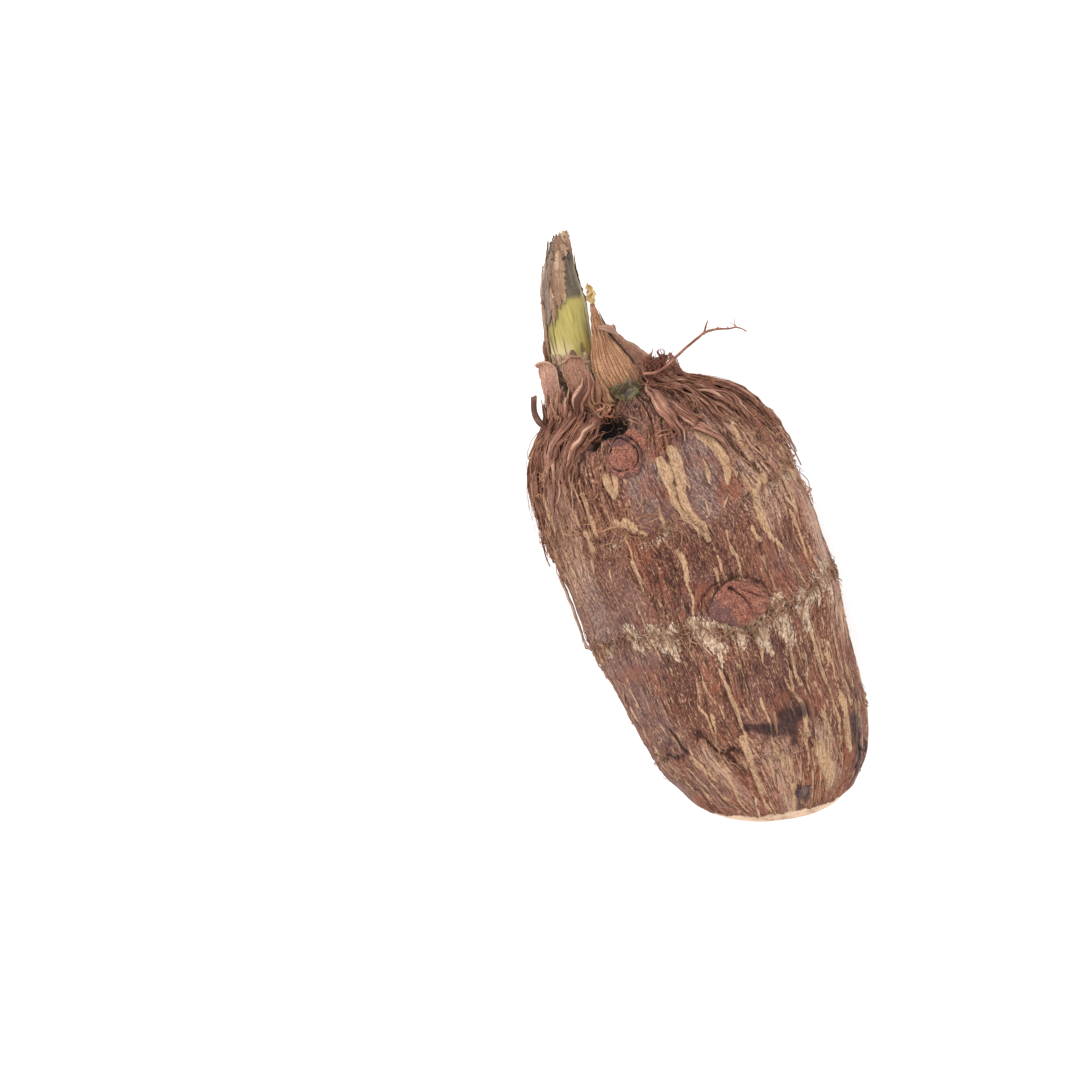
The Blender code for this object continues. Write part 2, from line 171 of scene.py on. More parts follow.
def smooth_path(stations: Sequence[Sequence[float]], count: int) -> Array:
    """Points along the smooth curve through the stations.

    Args:
        stations: rows of numbers, of which the curve passes through each.
        count: how many points to return.

    Returns:
        An array of count rows.
    """
    rows = np.asarray(stations, float)
    padded = np.vstack([2 * rows[0] - rows[1], rows, 2 * rows[-1] - rows[-2]])
    place = np.linspace(0, len(rows) - 1, count)
    index = np.minimum(place.astype(int), len(rows) - 2)
    f = (place - index)[:, None]
    a, b, c, d = (padded[index + k] for k in range(4))
    return b + 0.5 * f * (c - a + f * (2 * a - 5 * b + 4 * c - d + f * (3 * (b - c) + d - a)))


def blurred(values: Array, spread: float, axis: int, wrap: bool) -> Array:
    """Gaussian blur of a grid along one axis.

    Args:
        values: the grid.
        spread: the blur's standard deviation, in cells.
        axis: which axis to blur along.
        wrap: whether the grid closes on itself along that axis.

    Returns:
        The blurred grid.
    """
    reach = int(3 * spread) + 1
    weights = np.exp(-0.5 * (np.arange(-reach, reach + 1) / spread) ** 2)
    weights /= weights.sum()
    pad = [(reach, reach) if k == axis else (0, 0) for k in range(values.ndim)]
    wide = np.pad(values, pad, mode="wrap" if wrap else "edge")
    length = values.shape[axis]
    return sum(
        w * np.take(wide, range(k, k + length), axis=axis) for k, w in enumerate(weights)
    )


def object_from(name: str, bm: bmesh.types.BMesh, *finishes: Material) -> Piece:
    """Turns a bmesh in millimetres into a finished piece in metres.

    Args:
        name: the piece's name.
        bm: its mesh, which is freed.
        finishes: its materials, in the order of its faces' numbers.

    Returns:
        The piece, riding on the root.
    """
    bmesh.ops.scale(bm, vec=(MM, MM, MM), verts=bm.verts)
    mesh = bpy.data.meshes.new(name)
    bm.to_mesh(mesh)
    bm.free()
    mesh.shade_smooth()
    for finish in finishes:
        mesh.materials.append(finish)
    made = bpy.data.objects.new(name, mesh)
    bpy.context.scene.collection.objects.link(made)
    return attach(made, BODY)


def keep(mesh: bpy.types.Mesh, name: str, values: Array) -> None:
    """Stores a number, or a point, for each vertex of a mesh.

    Args:
        mesh: the mesh.
        name: the attribute's name.
        values: one number, or three, for each vertex.
    """
    kind, key = ("FLOAT_VECTOR", "vector") if values.ndim == 2 else ("FLOAT", "value")
    layer = mesh.attributes.new(name, kind, "POINT")
    layer.data.foreach_set(key, np.ascontiguousarray(values, np.float32).ravel())


def grid_piece(name: str, points: Array, closed: bool, finish: Material,
               kept: dict[str, Array]) -> Piece:
    """Makes a piece whose vertices lie on a grid of points.

    Args:
        name: the piece's name.
        points: the grid, by row and column.
        closed: whether the columns go once round, with a pole at each end, or the piece is an open sheet.
        finish: its material.
        kept: numbers or points to keep for each vertex, on the same grid.

    Returns:
        The piece.
    """
    rows, columns = points.shape[0] - 1, points.shape[1] - (not closed)
    bm = bmesh.new()
    if closed:
        bmesh.ops.create_uvsphere(bm, u_segments=columns, v_segments=rows, radius=1.0)
    else:
        bmesh.ops.create_grid(bm, x_segments=columns, y_segments=rows, size=1.0)
    spots = []
    for vert in bm.verts:
        x, y, z = vert.co
        if closed:
            tilt = math.asin(max(-1.0, min(1.0, z)))
            spot = round((tilt / math.pi + 0.5) * rows), round(math.atan2(y, x) / math.tau * columns) % columns
        else:
            spot = round((y + 1) / 2 * rows), round((x + 1) / 2 * columns)
        spots.append(spot)
        vert.co = points[spot]
    bmesh.ops.recalc_face_normals(bm, faces=bm.faces)
    made = object_from(name, bm, finish)
    at = tuple(np.array(spots).T)
    for label, values in kept.items():
        keep(made.data, label, values[at])
    return made


def walled(piece: Piece, thickness: float) -> Piece:
    """Gives a sheet a wall.

    Args:
        piece: the sheet.
        thickness: its wall's thickness.

    Returns:
        The sheet.
    """
    wall = piece.modifiers.new("wall", "SOLIDIFY")
    wall.thickness = thickness * MM
    wall.offset = 0.0
    return piece


# ---- shader expressions


class Number:
    """A shader socket that carries a number, with arithmetic."""

    def __init__(self, shader: "Shader", socket: Socket) -> None:
        """Wraps the socket."""
        self.shader = shader
        self.socket = socket

    def _math(self, operation: str, *terms: "Number | float") -> "Number":
        """A Math node over the terms."""
        node = self.shader.add("ShaderNodeMath", {"operation": operation}, dict(enumerate(terms)))
        return Number(self.shader, node.outputs[0])

    def __add__(self, other: "Number | float") -> "Number":
        """Sum."""
        return self._math("ADD", self, other)

    def __sub__(self, other: "Number | float") -> "Number":
        """Difference."""
        return self._math("SUBTRACT", self, other)

    def __rsub__(self, other: float) -> "Number":
        """Difference from a plain number."""
        return self._math("SUBTRACT", other, self)

    def __mul__(self, other: "Number | float") -> "Number":
        """Product."""
        return self._math("MULTIPLY", self, other)

    def __abs__(self) -> "Number":
        """Size without its sign."""
        return self._math("ABSOLUTE", self)

    __radd__ = __add__

    def sine(self) -> "Number":
        """Sine of an angle in radians."""
        return self._math("SINE", self)

    def between(self, low: float, high: float) -> "Number":
        """Rises smoothly from 0 to 1.

        Args:
            low: where it is still 0.
            high: where it has reached 1.

        Returns:
            The risen number.
        """
        settings = {"interpolation_type": "SMOOTHSTEP"}
        values = {"Value": self, "From Min": low, "From Max": high}
        return Number(self.shader, self.shader.add("ShaderNodeMapRange", settings, values).outputs[0])


class Shader:
    """A Principled material and the ways to add nodes to it."""

    def __init__(self, name: str) -> None:
        """Makes the material.

        Args:
            name: its name.
        """
        self.material = bpy.data.materials.new(name)
        self.material.use_nodes = True
        self.tree = self.material.node_tree
        self.surface = self.tree.nodes["Principled BSDF"]

    def put(self, socket: Socket, value: object) -> None:
        """Links or sets one socket.

        Args:
            socket: the input socket.
            value: a Number, an output socket, or plain values.
        """
        value = value.socket if isinstance(value, Number) else value
        if isinstance(value, Socket):
            self.tree.links.new(value, socket)
        elif socket.type == "RGBA":
            socket.default_value = (*value, 1.0)
        else:
            socket.default_value = value

    def add(self, kind: str, settings: dict[str, object], values: dict) -> bpy.types.Node:
        """Adds a node.

        Args:
            kind: the node's type.
            settings: its properties, set first.
            values: its inputs by name or number.

        Returns:
            The node.
        """
        node = self.tree.nodes.new(kind)
        for name, setting in settings.items():
            setattr(node, name, setting)
        for key, value in values.items():
            self.put(node.inputs[key], value)
        return node

    def kept(self, name: str) -> Number:
        """A number stored on the mesh."""
        return Number(self, self.add("ShaderNodeAttribute", {"attribute_name": name}, {}).outputs["Fac"])

    def kept_place(self, name: str) -> Socket:
        """A point stored on the mesh."""
        return self.add("ShaderNodeAttribute", {"attribute_name": name}, {}).outputs["Vector"]

    def place(self) -> Socket:
        """The surface point in the object's own metres."""
        return self.add("ShaderNodeTexCoord", {}, {}).outputs["Object"]

    def part(self, place: Socket, axis: str) -> Number:
        """One coordinate of a point."""
        return Number(self, self.add("ShaderNodeSeparateXYZ", {}, {0: place}).outputs[axis])

    def scaled(self, place: Socket, scale: Sequence[float]) -> Socket:
        """A point with each coordinate scaled."""
        return self.add("ShaderNodeMapping", {"vector_type": "POINT"}, {"Vector": place, "Scale": scale}).outputs[0]

    def noise(self, place: Socket, scale: float, detail: float, roughness: float) -> Number:
        """Noise from 0 to 1, with this many features for each unit of place."""
        values = {"Vector": place, "Scale": scale, "Detail": detail, "Roughness": roughness}
        return Number(self, self.add("ShaderNodeTexNoise", {}, values).outputs[0])

    def cells(self, place: Socket, scale: float) -> Number:
        """Distance to the nearest of scattered points, from 0."""
        values = {"Vector": place, "Scale": scale}
        return Number(self, self.add("ShaderNodeTexVoronoi", {}, values).outputs["Distance"])

    def mix(self, share: Number, first: object, second: object) -> Socket:
        """Blends two colours, or sockets of colours: share 0 gives the first and 1 the second."""
        return self.add("ShaderNodeMix", {"data_type": "RGBA"}, {0: share, 6: first, 7: second}).outputs[2]

    def darken(self, share: Number, colour: object, tint: Colour) -> Socket:
        """Multiplies a colour by a tint, by a share."""
        settings = {"data_type": "RGBA", "blend_type": "MULTIPLY"}
        return self.add("ShaderNodeMix", settings, {0: share, 6: colour, 7: tint}).outputs[2]

    def finish(self, colour: object, roughness: object, height: Number | None, depth: float) -> Material:
        """Joins the result to the surface.

        Args:
            colour: base colour.
            roughness: roughness.
            height: relief from 0 to 1, or None.
            depth: how deep the relief is, in millimetres.

        Returns:
            The material.
        """
        self.put(self.surface.inputs["Base Color"], colour)
        self.put(self.surface.inputs["Roughness"], roughness)
        self.surface.inputs["Specular IOR Level"].default_value = SPECULAR
        if height is not None:
            bump = self.add("ShaderNodeBump", {}, {"Height": height, "Strength": 1.0, "Distance": depth * MM})
            self.put(self.surface.inputs["Normal"], bump.outputs[0])
        return self.material


# ---- finishes


@dataclass(frozen=True)
class SkinFinish:
    """The corm's dry fibrous skin, its cork, scurf, fissures and cut flesh, with painted shade in its splits,
    creases, recesses and cavity.
    """

    deep: Colour = rgb(82, 46, 38)
    brown: Colour = rgb(136, 87, 68)
    light: Colour = rgb(200, 150, 120)
    plum: Colour = rgb(122, 88, 84)
    plum_deep: Colour = rgb(112, 80, 72)
    lilac: Colour = rgb(162, 134, 124)
    rust: Colour = rgb(156, 88, 62)
    cork: Colour = rgb(210, 172, 134)
    cork_dark: Colour = rgb(168, 124, 92)
    scurf: Colour = rgb(236, 212, 184)
    slate: Colour = rgb(122, 102, 118)
    pale: Colour = rgb(226, 186, 160)
    # painted shade: near black for the crown cavity
    hollow: Colour = rgb(20, 11, 9)
    flesh: Colour = rgb(232, 198, 168)
    flesh_dark: Colour = rgb(156, 104, 80)

    def material(self) -> Material:
        """Builds the material.

        Returns:
            It, reading the places and shares that CormSkin keeps on the mesh.
        """
        s = Shader("skin_fibrous")
        place = s.kept_place("grain_place")
        body = s.place()
        threads = s.noise(s.scaled(place, (1.3, 0.14, 1.3)), 1.0, 5.0, 0.68)
        hairs = s.noise(s.scaled(place, (4.2, 0.6, 4.2)), 1.0, 4.0, 0.7)
        grit = s.noise(s.scaled(place, (2.6, 1.3, 2.6)), 1.0, 3.0, 0.7)
        patches = s.noise(body, 120.0, 4.0, 0.6)
        clouds = s.noise(s.scaled(body, (70.0, 32.0, 70.0)), 1.0, 3.0, 0.55)
        crack = abs(s.noise(s.scaled(place, (0.75, 0.055, 0.75)), 1.0, 3.0, 0.6) - 0.5)
        crack = (1 - crack.between(0.004, 0.03)) * patches.between(0.36, 0.52)

        mottle = threads * 0.28 + hairs * 0.27 + grit * 0.45
        colour = s.mix(mottle.between(0.40, 0.51), self.deep, self.brown)
        colour = s.mix(mottle.between(0.51, 0.61), colour, self.light)
        # plum-grey bark, with a painted sheen towards the left and right edges
        plum = (clouds * 0.9 + s.kept("grey") * 0.4 + (grit - 0.5) * 0.5 - 0.1).between(0.30, 0.60)
        colour = s.mix(plum * 0.66, colour, self.plum)
        smooth_bark = (s.kept("lilac") + (grit - 0.5) * 0.9 + (clouds - 0.5) * 0.8).between(0.3, 0.9)
        colour = s.mix(smooth_bark * 0.72, colour, s.mix(grit.between(0.42, 0.60), self.plum_deep, self.lilac))
        shaded = (s.kept("shaded") + (clouds - 0.5) * 1.2 + (hairs - 0.5) * 0.5).between(0.3, 0.9)
        colour = s.darken(shaded * 0.75, colour, (0.56, 0.46, 0.48))
        rust = (patches + s.kept("rust") * 0.25 + (threads - 0.5) * 0.3).between(0.50, 0.70)
        colour = s.mix(rust * 0.6, colour, self.rust)
        fleck = (hairs * 0.45 + grit * 0.55).between(0.545, 0.60)
        colour = s.mix(fleck * 0.55, colour, self.cork)
        # paler bark, with painted rim light where the patches lie on the flanks
        pale = (s.kept("pale") + (threads - 0.5) * 1.8 + (grit - 0.5) * 1.4).between(0.4, 1.4)
        colour = s.mix(pale * 0.7, colour, self.pale)

        streak = s.noise(s.scaled(place, (1.7, 0.10, 1.7)), 1.0, 2.0, 0.5) + (hairs - 0.5) * 0.3
        streak = (streak + s.kept("streaks") * 0.04).between(0.675, 0.715)
        edge = (threads - 0.5) * 0.5 + (hairs - 0.5) * 0.5
        cork = (s.kept("cork") + edge * 0.5).between(0.42, 0.56)
        cork_colour = s.mix(grit.between(0.36, 0.56), self.cork_dark, self.cork)
        colour = s.mix(streak * 0.8, colour, cork_colour)
        colour = s.mix(cork * 0.92, colour, cork_colour)
        scurf = (s.kept("scurf") + (hairs - 0.5) * 0.9 + (grit - 0.5) * 1.2 + (patches - 0.5)).between(0.38, 0.60)
        colour = s.mix(scurf * 0.9, colour, s.mix(grit.between(0.38, 0.62), self.cork_dark, self.scurf))
        # slate patches, and painted shade along the creases
        slate = (s.kept("slate") + edge * 2.2 + (grit - 0.5) * 1.2 + (patches - 0.5) * 1.8).between(0.35, 0.75)
        colour = s.darken(slate * 0.88, colour, self.slate)
        # painted shade: darker in the splits, under the ring steps, in the creases and the cavity, round the bud
        # sockets and towards the crown under the husk
        painted_shade = (s.kept("painted_shade") + (hairs - 0.5) * 0.5).between(0.35, 0.75)
        colour = s.darken(painted_shade * 0.92, colour, (0.22, 0.16, 0.14))
        # painted shade in the fine cracks of the bark
        colour = s.darken(crack * (1 - cork * 0.8) * 0.8, colour, (0.34, 0.26, 0.24))
        # painted shade: the crown cavity goes near black
        colour = s.mix((s.kept("hollow") + (hairs - 0.5) * 0.6).between(0.35, 0.7) * 0.95, colour, self.hollow)

        cut = s.kept("cut")
        dots = 1 - s.cells(body, 700.0).between(0.12, 0.34)
        dotted = dots * 0.45 + patches.between(0.40, 0.70) * 0.6 + (grit - 0.5) * 1.6
        flesh = s.mix(dotted, self.flesh, self.flesh_dark)
        rim = (cut + (hairs - 0.5) * 0.6).between(0.35, 0.65)
        colour = s.mix(rim, colour, flesh)

        height = threads * 0.36 + hairs * 0.36 + grit * 0.32 + cork * 0.12 + scurf * 0.12 - crack * 0.4
        return s.finish(colour, 0.88 - plum * 0.2 - slate * 0.12, height * (1 - rim * 0.7), 0.7)


@dataclass(frozen=True)
class FibreFinish:
    """Dry plant fibre in a dark, a middle and a pale tone, so that neighbouring strands differ."""

    name: str
    dark: Colour
    middle: Colour
    pale: Colour
    spread: float = 900.0

    def tones(self) -> list[Material]:
        """Builds the three tones for strands.

        Returns:
            The dark, middle and pale materials, which read only the object's own coordinates.
        """
        made = []
        for label, low, high in (("dark", self.dark, self.middle), ("middle", self.dark, self.pale),
                                 ("pale", self.middle, self.pale)):
            s = Shader(f"{self.name}_{label}")
            place = s.place()
            tone = s.noise(place, self.spread * 0.4, 3.0, 0.6)
            fine = s.noise(place, 3600.0, 2.0, 0.6)
            colour = s.mix((tone * 0.7 + fine * 0.3).between(0.38, 0.64), low, high)
            made.append(s.finish(colour, 0.8, fine, 0.1))
        return made

    def material(self) -> Material:
        """Builds the finish for flat strips.

        Returns:
            It, reading what Ribbons keeps: the place across, along and by strip, and the nearness to an edge.
        """
        s = Shader(self.name)
        strip = s.kept_place("strip_place")
        place = s.place()
        tone = s.noise(s.scaled(strip, (0.3, 0.05, 1.0)), 1.0, 2.0, 0.5)
        lines = s.noise(s.scaled(strip, (4.6, 0.24, 1.0)), 1.0, 4.0, 0.75)
        grit = s.noise(place, 2600.0, 3.0, 0.65)
        mottle = tone * 0.52 + lines * 0.36 + grit * 0.12
        colour = s.mix(mottle.between(0.39, 0.51), self.dark, self.middle)
        colour = s.mix(mottle.between(0.50, 0.59), colour, self.pale)
        edge = (s.kept("strip_edge") + (lines - 0.5) * 0.6).between(0.65, 1.1)
        colour = s.darken(edge * 0.5, colour, (0.4, 0.3, 0.27))
        return s.finish(colour, 0.8, lines * 0.7 + grit * 0.3, 0.5)


@dataclass(frozen=True)
class LeafScaleFinish:
    """A dry leaf scale with ribs running up it and a paler rim."""

    name: str
    groove: Colour
    rib: Colour
    stain: Colour
    rim: Colour
    ribs: float = 11.0
    lines: float = 0.8
    stain_share: float = 0.5

    def material(self) -> Material:
        """Builds the material.

        Returns:
            It, reading the sheet_place that DryScale keeps: share across, share up and distance.
        """
        s = Shader(self.name)
        sheet = s.kept_place("sheet_place")
        place = s.place()
        across, up = s.part(sheet, "X"), s.part(sheet, "Y")
        sway = s.noise(s.scaled(sheet, (3.0, 2.0, 1.0)), 1.0, 2.0, 0.5)
        wave = abs((across * (math.pi * self.ribs) + sway * 2.4).sine())
        threads = s.noise(s.scaled(sheet, (60.0, 5.0, 1.0)), 1.0, 4.0, 0.65)
        grit = s.noise(place, 2600.0, 3.0, 0.65)
        blots = s.noise(place, 240.0, 4.0, 0.6)
        line = (1 - (wave + (threads - 0.5) * 0.5).between(0.04, 0.42)) * self.lines
        colour = s.mix((threads * 0.6 + grit * 0.4).between(0.40, 0.60), self.stain, self.rib)
        colour = s.mix(blots.between(0.48, 0.66) * self.stain_share, colour, self.stain)
        colour = s.mix(line, colour, self.groove)
        edge = abs(across - 0.5).between(0.43, 0.50) + up.between(0.93, 1.0)
        colour = s.mix((edge + (grit - 0.5) * 0.6).between(0.35, 0.9) * 0.7, colour, self.rim)
        colour = s.darken((1 - grit.between(0.34, 0.48)) * 0.6, colour, (0.5, 0.42, 0.38))
        height = threads * 0.5 + grit * 0.35 - line * 0.5
        return s.finish(colour, 0.72, height, 0.3)


@dataclass(frozen=True)
class StalkFinish:
    """The fresh leaf stalk, yellow-green, pale at its foot, slate and tan where it dries, with painted shade inside
    its hollow.
    """

    green: Colour = rgb(152, 140, 72)
    lime: Colour = rgb(186, 168, 92)
    cream: Colour = rgb(216, 196, 146)
    olive: Colour = rgb(138, 122, 80)
    mustard: Colour = rgb(186, 144, 60)
    tan: Colour = rgb(180, 148, 116)
    slate: Colour = rgb(56, 44, 44)
    ash: Colour = rgb(104, 86, 78)
    umber: Colour = rgb(112, 82, 62)

    def material(self) -> Material:
        """Builds the material.

        Returns:
            It, reading the shares that LeafStalk keeps on the mesh.
        """
        s = Shader("stalk_fresh")
        place = s.place()
        lines = s.noise(s.scaled(place, (1.0, 0.05, 1.0)), 2300.0, 3.0, 0.6)
        soft = s.noise(s.scaled(place, (1.0, 0.35, 1.0)), 260.0, 3.0, 0.55)
        grit = s.noise(place, 2200.0, 2.0, 0.6)
        colour = s.mix(lines.between(0.25, 0.75), self.green, self.lime)
        colour = s.mix(soft.between(0.45, 0.75) * 0.35, colour, self.olive)
        colour = s.mix((s.kept("cream") + (soft - 0.5) * 0.6).between(0.3, 0.9), colour, self.cream)
        colour = s.mix((s.kept("mustard") + (soft - 0.5) * 0.6).between(0.3, 0.9) * 0.7, colour, self.mustard)
        dry = (s.kept("dry") + (lines - 0.5) * 0.9 + (soft - 0.5) * 0.5).between(0.38, 0.62)
        papery = s.mix(grit.between(0.35, 0.6), self.umber, self.tan)
        colour = s.mix(dry, colour, papery)
        # slate where it dries, and painted shade inside the hollow
        slate = (s.kept("slate") + (lines - 0.5) * 0.9 + (soft - 0.5) * 1.2).between(0.22, 0.86)
        ashen = s.mix((lines * 0.6 + grit * 0.4).between(0.42, 0.62), self.slate, self.ash)
        colour = s.mix(slate * 0.9, colour, ashen)
        height = lines * 0.6 + soft * 0.25 + grit * 0.15
        return s.finish(colour, 0.48 + dry * 0.3, height, 0.28)


@dataclass(frozen=True)
class BudFinish:
    """A side bud wrapped in rusty fibrous scales, with painted shade in the gaps between them and along its upper
    rim.
    """

    name: str = "bud_rusty"
    rust: Colour = rgb(122, 70, 56)
    pink: Colour = rgb(170, 110, 90)
    # dark: painted shade for the gaps, the upper rim and the lobe's edges
    dark: Colour = rgb(54, 30, 25)
    plum: Colour = rgb(102, 68, 68)
    tan: Colour = rgb(210, 160, 128)

    def material(self) -> Material:
        """Builds the material.

        Returns:
            It, reading the painted shade share and the round place that SideBud keeps on the mesh.
        """
        s = Shader(self.name)
        place = s.place()
        rays = s.noise(s.kept_place("bud_place"), 1.0, 4.0, 0.7)
        soft = s.noise(place, 380.0, 3.0, 0.6)
        grit = s.noise(place, 2400.0, 3.0, 0.7)
        mottle = rays * 0.5 + grit * 0.5
        colour = s.mix(mottle.between(0.42, 0.58), self.rust, self.pink)
        colour = s.mix((soft + s.kept("tip") * 0.5).between(0.52, 0.78) * 0.85, colour, self.plum)
        colour = s.mix(mottle.between(0.54, 0.64) * 0.5, colour, self.tan)
        colour = s.darken((1 - grit.between(0.38, 0.50)) * 0.6, colour, (0.42, 0.34, 0.32))
        # painted shade: the gaps between scales, the upper rim and the lobe's edges go dark
        shaded_gap = (s.kept("shaded_gap") + (grit - 0.5) * 0.6).between(0.35, 0.75)
        colour = s.mix(shaded_gap * 0.92, colour, self.dark)
        return s.finish(colour, 0.8, rays * 0.5 + soft * 0.2 + grit * 0.4, 0.45)


@dataclass(frozen=True)
class MossFinish:
    """The damp foot of a leaf scale: green, olive and slate blotches."""

    name: str = "scale_mossy"
    green: Colour = rgb(126, 116, 76)
    brown: Colour = rgb(116, 86, 64)
    slate: Colour = rgb(112, 98, 94)

    def material(self) -> Material:
        """Builds the material.

        Returns:
            It, reading only the object's own coordinates.
        """
        s = Shader(self.name)
        place = s.place()
        soft = s.noise(place, 480.0, 3.0, 0.6)
        other = s.noise(s.scaled(place, (1.4, 0.9, 1.1)), 390.0, 2.0, 0.5)
        grit = s.noise(place, 1900.0, 2.0, 0.6)
        colour = s.mix(soft.between(0.44, 0.58), self.brown, self.green)
        colour = s.mix(other.between(0.54, 0.68) * 0.7, colour, self.slate)
        colour = s.darken((1 - grit.between(0.36, 0.52)) * 0.7, colour, (0.42, 0.38, 0.34))
        return s.finish(colour, 0.7, soft * 0.6 + grit * 0.4, 0.5)


# ---- reading the CAD shapes


class NodeShape:
    """A CAD node read as a shape to sample, in millimetres."""

    def __init__(self, name: str) -> None:
        """Reads the node's triangles and box.

        Args:
            name: the node's name.
        """
        mesh = frame["nodes"][name].data
        self.points = np.array([v.co for v in mesh.vertices]) / MM
        self.tree = BVHTree.FromPolygons(self.points.tolist(), [tuple(p.vertices) for p in mesh.polygons])
        self.low = self.points.min(0)
        self.high = self.points.max(0)

    def reach(self, start: Sequence[float], way: Sequence[float]) -> float:
        """Distance from a point inside to the surface, one way."""
        return self.tree.ray_cast(Vector(start), Vector(way).normalized())[3] or 0.0

    def middle(self, guess: Sequence[float]) -> Array:
        """The middle of the section across Y.

        Args:
            guess: a point inside, at the section's y.

        Returns:
            The section's middle, at the same y.
        """
        spot = np.array(guess, float)
        for axis in (0, 2, 0, 2):
            way = np.zeros(3)
            way[axis] = 1.0
            spot[axis] += (self.reach(spot, way) - self.reach(spot, -way)) / 2
        return spot

    def at(self, *share: float) -> Array:
        """The point at these shares of the node's box."""
        return self.low + (self.high - self.low) * np.array(share)


# ---- strands and ribbons


class Strands:
    """Collects round fibres and makes them one piece."""

    def __init__(self) -> None:
        """Starts with none."""
        self.curve = bpy.data.curves.new("strands", "CURVE")
        self.curve.dimensions = "3D"
        self.curve.bevel_depth = MM
        self.curve.bevel_resolution = 0
        self.curve.use_fill_caps = True

    def add(self, points: Array, radius: float, tip: float = 0.3, root: float = 1.0) -> None:
        """Adds one fibre, in a tone that its place picks.

        Args:
            points: its middle line.
            radius: its radius where it is thickest.
            tip: share of the radius left at its last point.
            root: share of the radius at its first point.
        """
        line = self.curve.splines.new("POLY")
        line.material_index = int(abs(points[0].sum() + points[-1].sum()) * 37) % TONES
        line.points.add(len(points) - 1)
        rows = np.hstack([np.clip(points, *ROOM) * MM, np.ones((len(points), 1))])
        line.points.foreach_set("co", rows.ravel())
        share = shares(len(points))
        radii = radius * np.minimum(1, np.minimum(root + 4 * share, tip + (1 - tip) * 2.2 * (1 - share)))
        line.points.foreach_set("radius", radii)

    def piece(self, name: str, finish: FibreFinish) -> Piece:
        """Makes the collected fibres one mesh.

        Args:
            name: the piece's name.
            finish: what they are made of.

        Returns:
            The piece.
        """
        tones = finish.tones()
        for tone in tones:
            self.curve.materials.append(tone)
        holder = bpy.data.objects.new("strand_holder", self.curve)
        bpy.context.scene.collection.objects.link(holder)
        bpy.context.view_layer.update()
        mesh = bpy.data.meshes.new_from_object(holder.evaluated_get(bpy.context.evaluated_depsgraph_get()))
        bpy.data.objects.remove(holder)
        bpy.data.curves.remove(self.curve)
        bm = bmesh.new()
        bm.from_mesh(mesh)
        bpy.data.meshes.remove(mesh)
        bmesh.ops.scale(bm, vec=(1 / MM, 1 / MM, 1 / MM), verts=bm.verts)
        return object_from(name, bm, *tones)


class Ribbons:
    """Collects flat strips and makes them one piece."""

    def __init__(self, thickness: float, across: int = 4) -> None:
        """Starts with none.

        Args:
            thickness: the strips' thickness.
            across: cells across a strip.
        """
        self.thickness = thickness
        self.across = across
        self.bm = bmesh.new()
        self.places: list[tuple[float, float, float]] = []
        self.edges: list[float] = []
        self.folds = Grain(300)

    def add(self, points: Array, normals: Array, half_width: Array, cup: float = 0.0,
            crease: float = 0.0) -> None:
        """Adds one strip.

        Args:
            points: its middle line.
            normals: the way its outer face looks, at each point.
            half_width: half its width at each point.
            cup: how far its middle stands out from its edges, as a share of its half width.
            crease: how deep the wrinkles along it are.
        """
        points = np.clip(points, *ROOM)
        count = len(points)
        number = 7.3 * len(self.places) ** 0.5
        length = np.concatenate([[0], np.cumsum(np.linalg.norm(np.diff(points, axis=0), axis=1))])
        made = bmesh.ops.create_grid(self.bm, x_segments=self.across, y_segments=count - 1, size=1.0)["verts"]
        side = np.cross(np.gradient(points, axis=0), normals)
        side /= np.linalg.norm(side, axis=1, keepdims=True) + 1e-9
        for vert in made:
            row = round((vert.co.y + 1) / 2 * (count - 1))
            u = vert.co.x
            width = half_width[row]
            fold = crease * float(self.folds.at(np.array((u * 2.3, row * 0.06, number)))) if crease else 0.0
            vert.co = points[row] + side[row] * u * width + normals[row] * (cup * width * (1 - u * u) + fold)
            self.places.append((u * width, length[row], number))
            self.edges.append(abs(u))

    def piece(self, name: str, finish: FibreFinish) -> Piece:
        """Makes the collected strips one piece with a wall.

        Args:
            name: the piece's name.
            finish: what they are made of.

        Returns:
            The piece.
        """
        made = object_from(name, self.bm, finish.material())
        keep(made.data, "strip_place", np.array(self.places))
        keep(made.data, "strip_edge", np.array(self.edges))
        return walled(made, self.thickness)


# ---- the corm's skin


class Run(Enum):
    """Which way a mark runs on the skin."""

    ALONG = "along the corm"
    AROUND = "part of the way round"
    RING = "all the way round"


